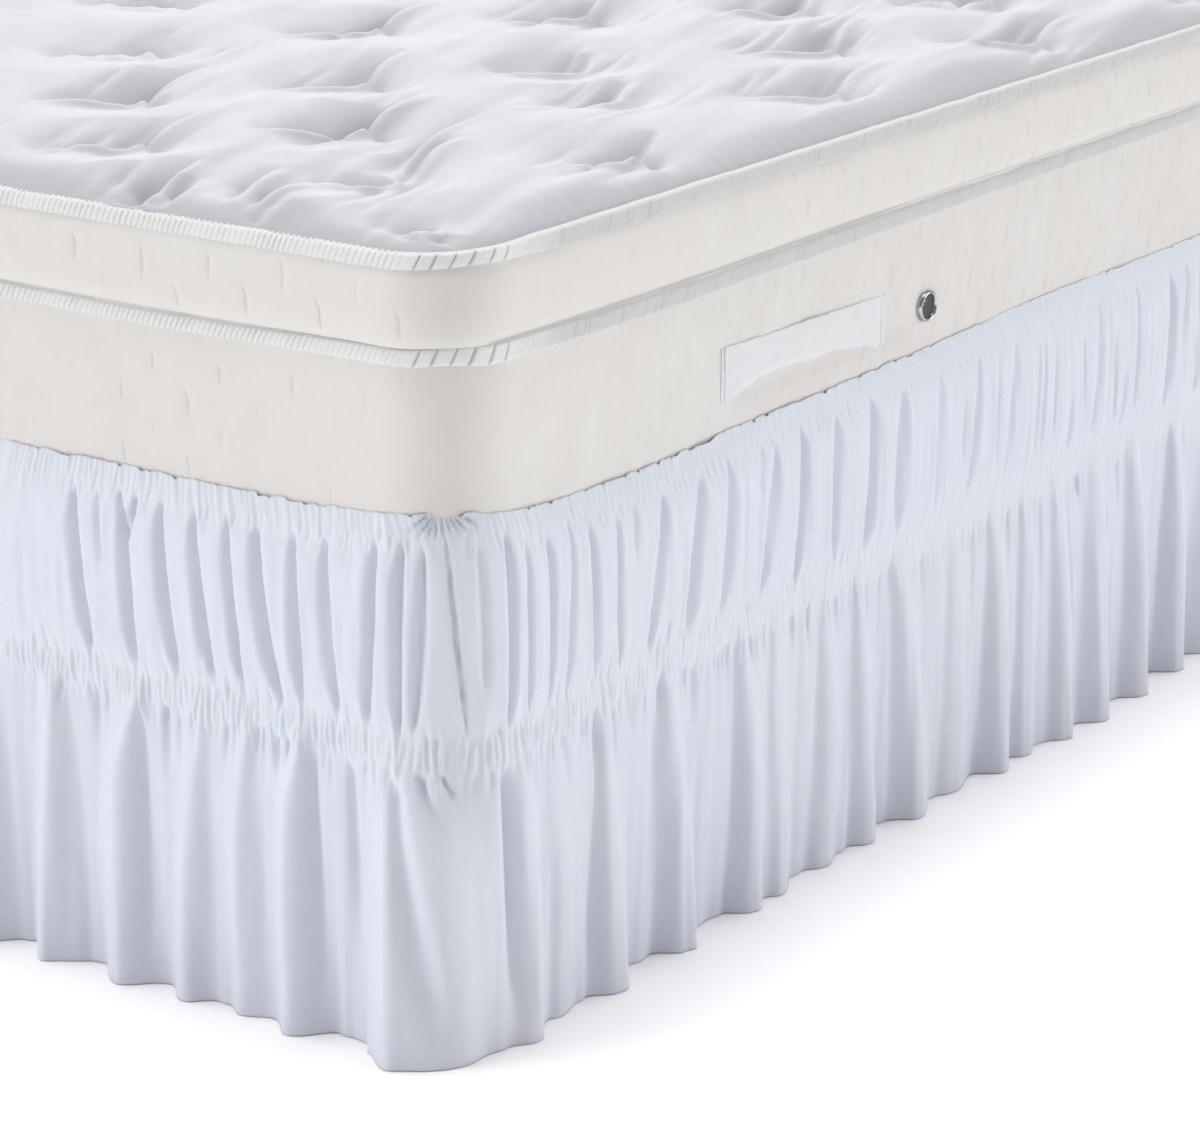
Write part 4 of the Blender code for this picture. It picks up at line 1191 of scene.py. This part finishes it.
# ----------------------------------------------------------------- top panel
# Tufts: from the corner, across the bed (negative) and along it.
TUFTS = (
    (-0.725, 0.470), (-0.585, 0.295), (-0.453, 0.140), (-0.335, 0.022), (-0.459, 0.465),
    (-0.338, 0.305), (-0.197, 0.144), (-0.062, 0.024), (-0.348, 0.652), (-0.232, 0.541),
    (-0.078, 0.337), (-0.090, 0.690),
)
TUFT_X, TUFT_Y = 0.272, 0.343
EYE = (2.5624, -3.4969, 1.4246)

# Crease drawn through a tuft, seen from the tuft.
S_CREASE = ((-0.048, -0.082), (-0.040, -0.052), (-0.028, -0.026), (-0.006, -0.012), (0.000, 0.004),
            (-0.010, 0.030), (-0.026, 0.068), (-0.038, 0.112), (-0.042, 0.155))

# Creases of their own shape: depth, reach of the easy slope, reach of the
# steep one, share of the run where it is deepest, and the run from the corner,
# across the bed and along it, as they lie on a level 0.69 m up in the view.
CREASES = (
    (0.0120, 0.020, 0.0045, 0.40, ((-0.284, -0.070), (-0.302, -0.028), (-0.321, 0.009),
                                   (-0.344, 0.054), (-0.351, 0.091), (-0.353, 0.118))),
    (0.0060, 0.010, 0.0045, 0.60, ((-0.280, -0.067), (-0.297, -0.028), (-0.283, -0.026),
                                   (-0.266, -0.051))),
    (0.0070, 0.016, 0.0050, 0.50, ((-0.257, -0.054), (-0.281, -0.012), (-0.305, 0.030),
                                   (-0.326, 0.078))),
    (0.0060, 0.014, 0.0050, 0.60, ((-0.335, 0.219), (-0.329, 0.262), (-0.322, 0.290))),
    (0.0120, 0.018, 0.0050, 0.75, ((-0.242, 0.128), (-0.230, 0.143), (-0.217, 0.148),
                                   (-0.197, 0.144), (-0.197, 0.171), (-0.192, 0.181))),
    (0.0095, 0.032, 0.0090, 0.35, ((-0.213, 0.191), (-0.236, 0.240), (-0.254, 0.294),
                                   (-0.266, 0.342), (-0.275, 0.419), (-0.272, 0.482))),
    (0.0080, 0.016, 0.0050, 0.35, ((-0.187, 0.184), (-0.214, 0.240), (-0.224, 0.286),
                                   (-0.219, 0.317))),
    (0.0070, 0.014, 0.0050, 0.45, ((-0.194, -0.028), (-0.216, 0.014), (-0.239, 0.068),
                                   (-0.248, 0.113), (-0.244, 0.131))),
    (0.0060, 0.014, 0.0050, 0.45, ((-0.151, -0.072), (-0.189, -0.006), (-0.218, 0.063),
                                   (-0.218, 0.098))),
    (0.0050, 0.012, 0.0050, 0.50, ((-0.155, -0.048), (-0.179, -0.008), (-0.197, 0.038),
                                   (-0.203, 0.073))),
    (0.0060, 0.014, 0.0050, 0.50, ((-0.231, -0.006), (-0.257, 0.045), (-0.282, 0.109),
                                   (-0.281, 0.142))),
    (0.0130, 0.022, 0.0050, 0.45, ((-0.395, 0.591), (-0.387, 0.615), (-0.363, 0.630),
                                   (-0.348, 0.652), (-0.360, 0.687), (-0.376, 0.731))),
    (0.0120, 0.020, 0.0045, 0.35, ((-0.238, 0.501), (-0.238, 0.529), (-0.232, 0.541),
                                   (-0.252, 0.584), (-0.260, 0.623))),
    (0.0130, 0.020, 0.0045, 0.40, ((-0.111, 0.306), (-0.097, 0.325), (-0.076, 0.323),
                                   (-0.080, 0.337), (-0.073, 0.351), (-0.091, 0.396),
                                   (-0.106, 0.440))),
    (0.0060, 0.012, 0.0050, 0.50, ((-0.079, 0.336), (-0.069, 0.354), (-0.043, 0.346),
                                   (-0.023, 0.318))),
    (0.0110, 0.014, 0.0045, 0.55, ((-0.070, 0.012), (-0.075, 0.030), (-0.066, 0.046),
                                   (-0.050, 0.050))),
    (0.0060, 0.010, 0.0040, 0.55, ((-0.035, 0.040), (-0.027, 0.024), (-0.032, 0.010))),
)
# Tufts of the table whose crease is one of those above.
OWN_CREASE = (3, 6, 7, 8, 9, 10)


def panel_base(x, y):
    """Height of the panel without its quilting, and the way in from its rim."""
    over_x = np.abs(x) - (HALF_X - CORNER_R)
    over_y = np.abs(y) - (HALF_Y - CORNER_R)
    inside = np.where((over_x > 0) & (over_y > 0), CORNER_R - np.hypot(over_x, over_y),
                      np.minimum(HALF_X - np.abs(x), HALF_Y - np.abs(y)))
    inside = np.maximum(inside, 0.0)
    return RIM_Z - 0.0004 + 0.0165 * (1 - np.exp(-inside / 0.016)), inside


def lowered(run):
    """The run's points moved along the line of sight, from the level they
    were read on down to the panel."""
    found = []
    for x, y in run:
        start = np.array((HALF_X + x, -HALF_Y + y, 0.69))
        way = start - np.array(EYE)
        way = way / -way[2]
        point = start.copy()
        for _ in range(12):
            height = float(panel_base(point[0], point[1])[0])
            point = point + 0.5 * (start + way * (0.69 - height) - point)
        found.append((point[0], point[1]))
    return found


def eased(run):
    """The same run with its corners rounded."""
    run = [np.array(p, float) for p in run]
    for _ in range(2):
        cut = [run[0]]
        for a, b in zip(run[:-1], run[1:]):
            cut += [0.75 * a + 0.25 * b, 0.25 * a + 0.75 * b]
        run = cut + [run[-1]]
    return run


def beside(x, y, run):
    """Distance from a run of points, positive on its left, and the share of
    its length reached."""
    best, side, share = np.full(x.shape, 9.0), np.zeros(x.shape), np.zeros(x.shape)
    longs = [float(np.hypot(*(b - a))) for a, b in zip(run[:-1], run[1:])]
    whole, start = sum(longs), 0.0
    for a, b, long in zip(run[:-1], run[1:], longs):
        ex, ey = b - a
        t = np.clip(((x - a[0]) * ex + (y - a[1]) * ey) / max(long ** 2, 1e-12), 0.0, 1.0)
        ox, oy = x - a[0] - ex * t, y - a[1] - ey * t
        far = np.hypot(ox, oy)
        near = far < best
        best = np.where(near, far, best)
        side = np.where(near, np.sign(ex * oy - ey * ox), side)
        share = np.where(near, (start + long * t) / whole, share)
        start += long
    return best * side, share


def crease_relief(z, x, y, run, depth, easy, steep, peak):
    """Presses one crease into the heights z."""
    run = eased(run)
    low = np.min(run, axis=0) - 0.07
    high = np.max(run, axis=0) + 0.07
    rows = np.nonzero((y.max(axis=1) > low[1]) & (y.min(axis=1) < high[1]))[0]
    cols = np.nonzero((x.max(axis=0) > low[0]) & (x.min(axis=0) < high[0]))[0]
    if not len(rows) or not len(cols):
        return
    part = (slice(rows[0], rows[-1] + 1), slice(cols[0], cols[-1] + 1))
    d, share = beside(x[part], y[part], run)
    amount = 1.95 * depth * np.interp(share, (0.0, 0.5 * peak, peak, (1 + peak) / 2, 1.0),
                               (0.0, 0.62, 1.0, 0.55, 0.0))
    left = np.exp(-(np.maximum(d, 0.0) / easy) ** 1.2)
    right = np.exp(-(np.maximum(-d, 0.0) / steep) ** 1.5)
    bulge = 0.32 * np.where(d < 0, bell(-d - 0.0140, 0.0100), 0.0)
    z[part] += amount * (bulge - np.where(d > 0, left, right))


def all_tufts():
    """The tabled tufts, and the same quincunx over the rest of the bed."""
    found = [(HALF_X + x, -HALF_Y + y) for x, y in TUFTS]
    for j in range(-1, 12):
        for i in range(-1, 7):
            x = HALF_X - 0.072 - TUFT_X * i - (TUFT_X / 2 if j % 2 else 0.0)
            y = -HALF_Y + 0.005 + TUFT_Y / 2 * j
            x += 0.010 * float(lattice(101, i, j))
            y += 0.012 * float(lattice(102, i, j))
            if abs(x) > HALF_X - 0.02 or abs(y) > HALF_Y - 0.0:
                continue
            if all(math.hypot(x - a, y - b) > 0.125 for a, b in found):
                found.append((x, y))
    return found


def build_panel():
    xs = np.concatenate([np.linspace(-HALF_X, HALF_X - 0.66, 45, endpoint=False),
                         np.linspace(HALF_X - 0.66, HALF_X, 211)])
    ys = np.concatenate([np.linspace(-HALF_Y, -HALF_Y + 0.72, 225, endpoint=False),
                         np.linspace(-HALF_Y + 0.72, -HALF_Y + 1.15, 86, endpoint=False),
                         np.linspace(-HALF_Y + 1.15, HALF_Y, 46)])
    # close rows along the rim, where the panel rolls over
    def tighten(values, half):
        edge = half - np.abs(values)
        pulled = np.where(edge < 0.05, edge * (0.45 + 0.55 * edge / 0.05), edge)
        return np.sign(values) * (half - pulled)
    xs, ys = tighten(xs, HALF_X), tighten(ys, HALF_Y)
    x, y = np.meshgrid(xs, ys)
    # a square corner squeezed into the round one
    over_x = np.abs(x) - (HALF_X - CORNER_R)
    over_y = np.abs(y) - (HALF_Y - CORNER_R)
    at_corner = (over_x > 0) & (over_y > 0)
    far = np.hypot(over_x, over_y)
    most = np.maximum(over_x, over_y)
    squeeze = np.where(at_corner & (far > 1e-9), most / np.maximum(far, 1e-9), 1.0)
    x = np.where(at_corner, np.sign(x) * (HALF_X - CORNER_R + over_x * squeeze), x)
    y = np.where(at_corner, np.sign(y) * (HALF_Y - CORNER_R + over_y * squeeze), y)
    base, inside = panel_base(x, y)

    tufts = all_tufts()
    nearest = np.full(x.shape, 9.0)
    for tx, ty in tufts:
        nearest = np.minimum(nearest, np.hypot((x - tx) * 1.0, (y - ty) * 0.85))
    fade = step(inside / 0.045)
    soft = np.maximum(fade, 0.60 * step(inside / 0.010))
    relief = fade * (0.0165 * (1 - np.exp(-(nearest / 0.064) ** 1.6)) - 0.0095)
    pressed = np.zeros(x.shape)
    for number, (tx, ty) in enumerate(tufts):
        hand = 1.0 + 0.12 * float(lattice(103, number, 0))
        sway = 0.10 * float(lattice(104, number, 1))
        if number not in OWN_CREASE:
            run = [(tx + px_ * hand + sway * py_, ty + py_ * hand) for px_, py_ in S_CREASE]
            crease_relief(pressed, x, y, run, 0.0140 * hand, 0.022, 0.0045, 0.36)
            short = [(tx - 0.001, ty - 0.004), (tx + 0.010, ty + 0.014), (tx + 0.026, ty + 0.010),
                     (tx + 0.044, ty - 0.012)]
            crease_relief(pressed, x, y, short, 0.0055, 0.012, 0.0050, 0.35)
        pressed -= 0.0050 * np.exp(-(np.hypot((x - tx) * 1.15, (y - ty) * 0.9) / 0.014) ** 1.5)
        # long thin wrinkles drawn along the bed past the tuft
        for k in range(5):
            ax = tx + 0.075 * float(lattice(105, number, k))
            ay = ty + 0.050 * float(lattice(106, number, k))
            long = 0.050 + 0.050 * abs(float(lattice(107, number, k)))
            way = -0.25 + 0.12 * float(lattice(108, number, k))
            crease_relief(pressed, x, y, [(ax - way * long, ay - long), (ax, ay), (ax + way * long * 1.2,
                                                                                ay + long * 1.1)],
                          0.0017 + 0.0009 * float(lattice(109, number, k)), 0.0065, 0.0035, 0.5)
    for depth, easy, steep, peak, run in CREASES:
        crease_relief(pressed, x, y, lowered(run), depth, easy, steep, peak)
    # round cushion of cloth at the corner, in front of its crease
    cx, cy = HALF_X - 0.060, -HALF_Y + 0.038
    pressed += 0.0055 * np.exp(-(np.hypot(x - cx, y - cy) / 0.024) ** 3)
    z = base + relief + pressed * soft
    # long soft furrows along the bed, with a slight lean
    run = x + 0.22 * y + 0.016 * rough(111, x / 0.11, y / 0.25)
    z = z + 0.0034 * rough(112, run / 0.046, y / 0.30) * fade
    z = z + 0.0013 * rough(113, run / 0.019, y / 0.12) * fade
    # puckers where the rim's tape gathers the panel
    across = np.where(HALF_X - np.abs(x) < HALF_Y - np.abs(y), y, x)
    pucker = np.exp(-inside / 0.020) * step(inside / 0.004)
    z = z + 0.0009 * pucker * rough(114, across / 0.011)
    z = np.minimum(z, 0.7120)
    points = np.stack([x, y, z], axis=-1)
    obj = lay_grid("pillow_top_panel", points, False, (x, y), flip=True)
    obj.data.materials.append(PANEL_CLOTH)
    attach(obj, "root")
    return obj


panel = build_panel()


# ------------------------------------------------------------ handle and vent
HANDLE_FROM, HANDLE_TO = 0.382, 0.657
HANDLE_HEAD = ((0.0, 0.5268), (0.30, 0.5245), (0.60, 0.5232), (1.0, 0.5200))
HANDLE_FOOT = ((0.0, 0.4720), (0.07, 0.4770), (0.18, 0.4840), (0.30, 0.4868), (0.43, 0.4868),
               (0.61, 0.4840), (0.79, 0.4790), (1.0, 0.4705))


def build_handle():
    """A flat strip of webbing sewn down at both ends, slack between them."""
    s = np.linspace(0.0, 1.0, 180)[None, :]
    t = np.linspace(0.0, 1.0, 25)[:, None]
    y = -HALF_Y + HANDLE_FROM + (HANDLE_TO - HANDLE_FROM) * s
    slack = np.sin(math.pi * np.clip((s - 0.03) / 0.94, 0, 1)) ** 0.8
    head = smooth_table(HANDLE_HEAD, s, 0.04) + 0.0005 * rough(122, s * 26)
    foot = smooth_table(HANDLE_FOOT, s, 0.04) + 0.0004 * rough(123, s * 22)
    z = foot + (head - foot) * (1 - t)
    bulge = 0.0024 * slack * (0.35 + 0.65 * np.sin(math.pi * np.clip(t * 0.85 + 0.10, 0, 1)))
    out = HALF_X + 0.0046 + bulge + 0.0004 * rough(121, s * 18, t * 4)
    curl = step((t - 0.80) / 0.20) * 0.0028 * (0.3 + 0.7 * slack)
    out = out - curl
    # the end nearest the corner is stitched down hard; the other one softly
    pressed_and_painted_shade = bell(s - 0.010, 0.0075) + 0 * t
    out = out - 0.0020 * pressed_and_painted_shade - 0.0008 * (bell(s - 0.975, 0.008) + 0 * t)
    # painted shade: a dark line where the ends are pressed in, carried into the strip's colour
    pressed_and_painted_shade = np.clip(pressed_and_painted_shade * 1.3, 0, 1) * step((1.0 - t) / 0.05)
    pressed_and_painted_shade = np.maximum(pressed_and_painted_shade, 0.30 * bell(s - 0.978, 0.004) + 0 * t)
    # painted shade along the turned upper edge
    pressed_and_painted_shade = np.maximum(pressed_and_painted_shade, 0.40 * step((0.05 - t) / 0.05) * (0.7 + 0.3 * rough(124, s * 60)))
    front = np.stack([out + 0 * y + 0 * z, y + 0 * z, z + 0 * y], axis=-1)
    thick = 0.0024
    back = front.copy()
    back[..., 0] -= thick
    # rim rows and columns close the strip
    ring = [front[i] for i in range(25)]
    top_mid = front[0].copy()
    top_mid[:, 0] -= thick / 2
    top_mid[:, 2] += 0.0006
    foot_mid = front[-1].copy()
    foot_mid[:, 0] -= thick / 2
    foot_mid[:, 2] -= 0.0006
    strip = [top_mid] + ring + [foot_mid] + [back[i] for i in range(24, -1, -1)] + [top_mid.copy()]
    strip = np.array(strip)
    obj = lay_grid("handle_webbing", strip, False, (strip[:, :, 1], strip[:, :, 2]), flip=False)
    painted_shade_rows = np.concatenate([np.zeros((1, 180)), pressed_and_painted_shade, np.zeros((27, 180))])[:len(strip)]
    mark(obj, "pressed_and_painted_shade", 0.8 * painted_shade_rows)
    # ends
    import bmesh
    bm = bmesh.new()
    bm.from_mesh(obj.data)
    bmesh.ops.remove_doubles(bm, verts=bm.verts, dist=0.00001)
    bmesh.ops.holes_fill(bm, edges=[e for e in bm.edges if e.is_boundary], sides=0)
    bmesh.ops.recalc_face_normals(bm, faces=bm.faces)
    bm.to_mesh(obj.data)
    bm.free()
    obj.data.shade_smooth()
    obj.data.set_sharp_from_angle(angle=math.radians(50))
    obj.data.materials.append(HANDLE_CLOTH)
    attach(obj, "root")
    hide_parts("handle")
    return obj


handle = build_handle()


def turned(name, profile, centre, steps=72):
    """A round piece facing out of the long side, a little flatter than it
    is wide: radius and height rows."""
    turn = np.linspace(0, 2 * math.pi, steps, endpoint=False)
    points = []
    for radius, rise in profile:
        points.append(np.stack([np.full(steps, centre[0] + rise),
                                centre[1] + radius * np.cos(turn),
                                centre[2] + 0.90 * radius * np.sin(turn)], axis=-1))
    obj = lay_grid(name, np.array(points), True, None, flip=True)
    obj.data.set_sharp_from_angle(angle=math.radians(50))
    return obj


VENT_AT = (HALF_X + 0.0046, -HALF_Y + 0.7325, 0.4938)
ring_profile = [(0.0120, -0.0010), (0.0121, 0.0004), (0.0125, 0.0020), (0.0132, 0.0031),
                (0.0142, 0.0036), (0.0152, 0.0032), (0.0159, 0.0022), (0.0163, 0.0008),
                (0.0165, -0.0012)]
vent_ring = turned("vent_ring", ring_profile, VENT_AT)
vent_ring.data.materials.append(VENT_METAL)
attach(vent_ring, "root")
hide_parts("vent")
# a near-black dish across the opening: the screen, and painted shade of the hollow behind it
dish = [(0.0002, -0.0008), (0.0030, -0.0007), (0.0062, -0.0004), (0.0094, 0.0002), (0.0122, 0.0006)]
vent_screen_and_hole_shade = turned("vent_screen_and_hole_shade", dish, VENT_AT)
vent_screen_and_hole_shade.data.materials.append(VENT_DARK)
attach(vent_screen_and_hole_shade, "root")

# ------------------------------------------------------------- hidden pieces
for name, finish, slot_name in [("bed_base", BASE_CLOTH, "base_cloth")] + [
        ("foot_%d" % i, FOOT_PLASTIC, "foot_plastic") for i in range(1, 7)]:
    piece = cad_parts[name]
    piece.data.materials.clear()
    piece.data.materials.append(finish)

# ------------------------------------------------------------ floor and light
bpy.ops.mesh.primitive_plane_add(size=60.0, location=(0.0, 0.0, -0.0002))
floor = bpy.context.object
floor.name = "floor"
floor_finish, tree, shader = blank("floor_white")
place = tree.nodes.new("ShaderNodeTexCoord").outputs["Object"]
cloudy = noise(tree, place, 0.6, 2.0)
tree.links.new(blend_colours(tree, cloudy, (0.96, 0.96, 0.96), (0.98, 0.98, 0.98)),
               shader.inputs["Base Color"])
shader.inputs["Roughness"].default_value = 0.9
shader.inputs["Specular IOR Level"].default_value = 0.1
floor.data.materials.append(floor_finish)

world = bpy.data.worlds.new("soft_white")
bpy.context.scene.world = world
world.use_nodes = True
backing = world.node_tree.nodes["Background"]
backing.inputs["Color"].default_value = (1.0, 1.0, 1.0, 1.0)
backing.inputs["Strength"].default_value = 0.32


def soft_light(name, across, along, rise, spread_angle, strength, colour=(1.0, 1.0, 1.0)):
    """Broad even light that comes from one direction and height in degrees."""
    data = bpy.data.lights.new(name, "SUN")
    data.angle = math.radians(spread_angle)
    data.energy = strength
    data.color = colour
    lamp = bpy.data.objects.new(name, data)
    bpy.context.scene.collection.objects.link(lamp)
    flat = math.cos(math.radians(rise)) / math.hypot(across, along)
    source = Vector((across * flat, along * flat, math.sin(math.radians(rise))))
    lamp.location = source * 6.0
    lamp.rotation_euler = (-source).to_track_quat("-Z", "Y").to_euler()
    return lamp


soft_light("above_soft", -0.77, 0.50, 77.0, 40.0, 2.88)
soft_light("left_soft", -0.66, -0.75, 21.0, 32.0, 1.30)
soft_light("right_soft", 0.74, 0.67, 20.0, 32.0, 1.25)
low_light = soft_light("back_soft", -0.62, 0.785, 19.0, 26.0, 1.35)
# The low light from behind skims the level surfaces and is kept off the
# upright ones, so the two far sides aren't brighter than the near ones.
level = bpy.data.collections.new("level_surfaces")
level.objects.link(panel)
level.objects.link(floor)
low_light.light_linking.receiver_collection = level

# -------------------------------------------------------------------- camera
camera_data = bpy.data.cameras.new("camera")
camera = bpy.data.objects.new("camera", camera_data)
bpy.context.scene.collection.objects.link(camera)
bpy.context.scene.camera = camera
camera_data.sensor_fit = "HORIZONTAL"
camera_data.sensor_width = 36.0
camera_data.lens = 36.0 * 4166.0 / 1200.0
camera_data.clip_end = 100.0
yaw, pitch, roll_angle = math.radians(34.356), math.radians(17.441), math.radians(0.3125)
forward = Vector((-math.sin(yaw) * math.cos(pitch), math.cos(yaw) * math.cos(pitch),
                  -math.sin(pitch)))
right = Vector((math.cos(yaw), math.sin(yaw), 0.0))
up = right.cross(forward)
right_2 = right * math.cos(roll_angle) + up * math.sin(roll_angle)
up_2 = -right * math.sin(roll_angle) + up * math.cos(roll_angle)
turned_to = Matrix((right_2, up_2, -forward)).transposed().to_4x4()
camera.matrix_world = Matrix.Translation((2.5624, -3.4969, 1.4246)) @ turned_to

bpy.context.scene.view_settings.view_transform = "Standard"
bpy.context.scene.view_settings.look = "None"
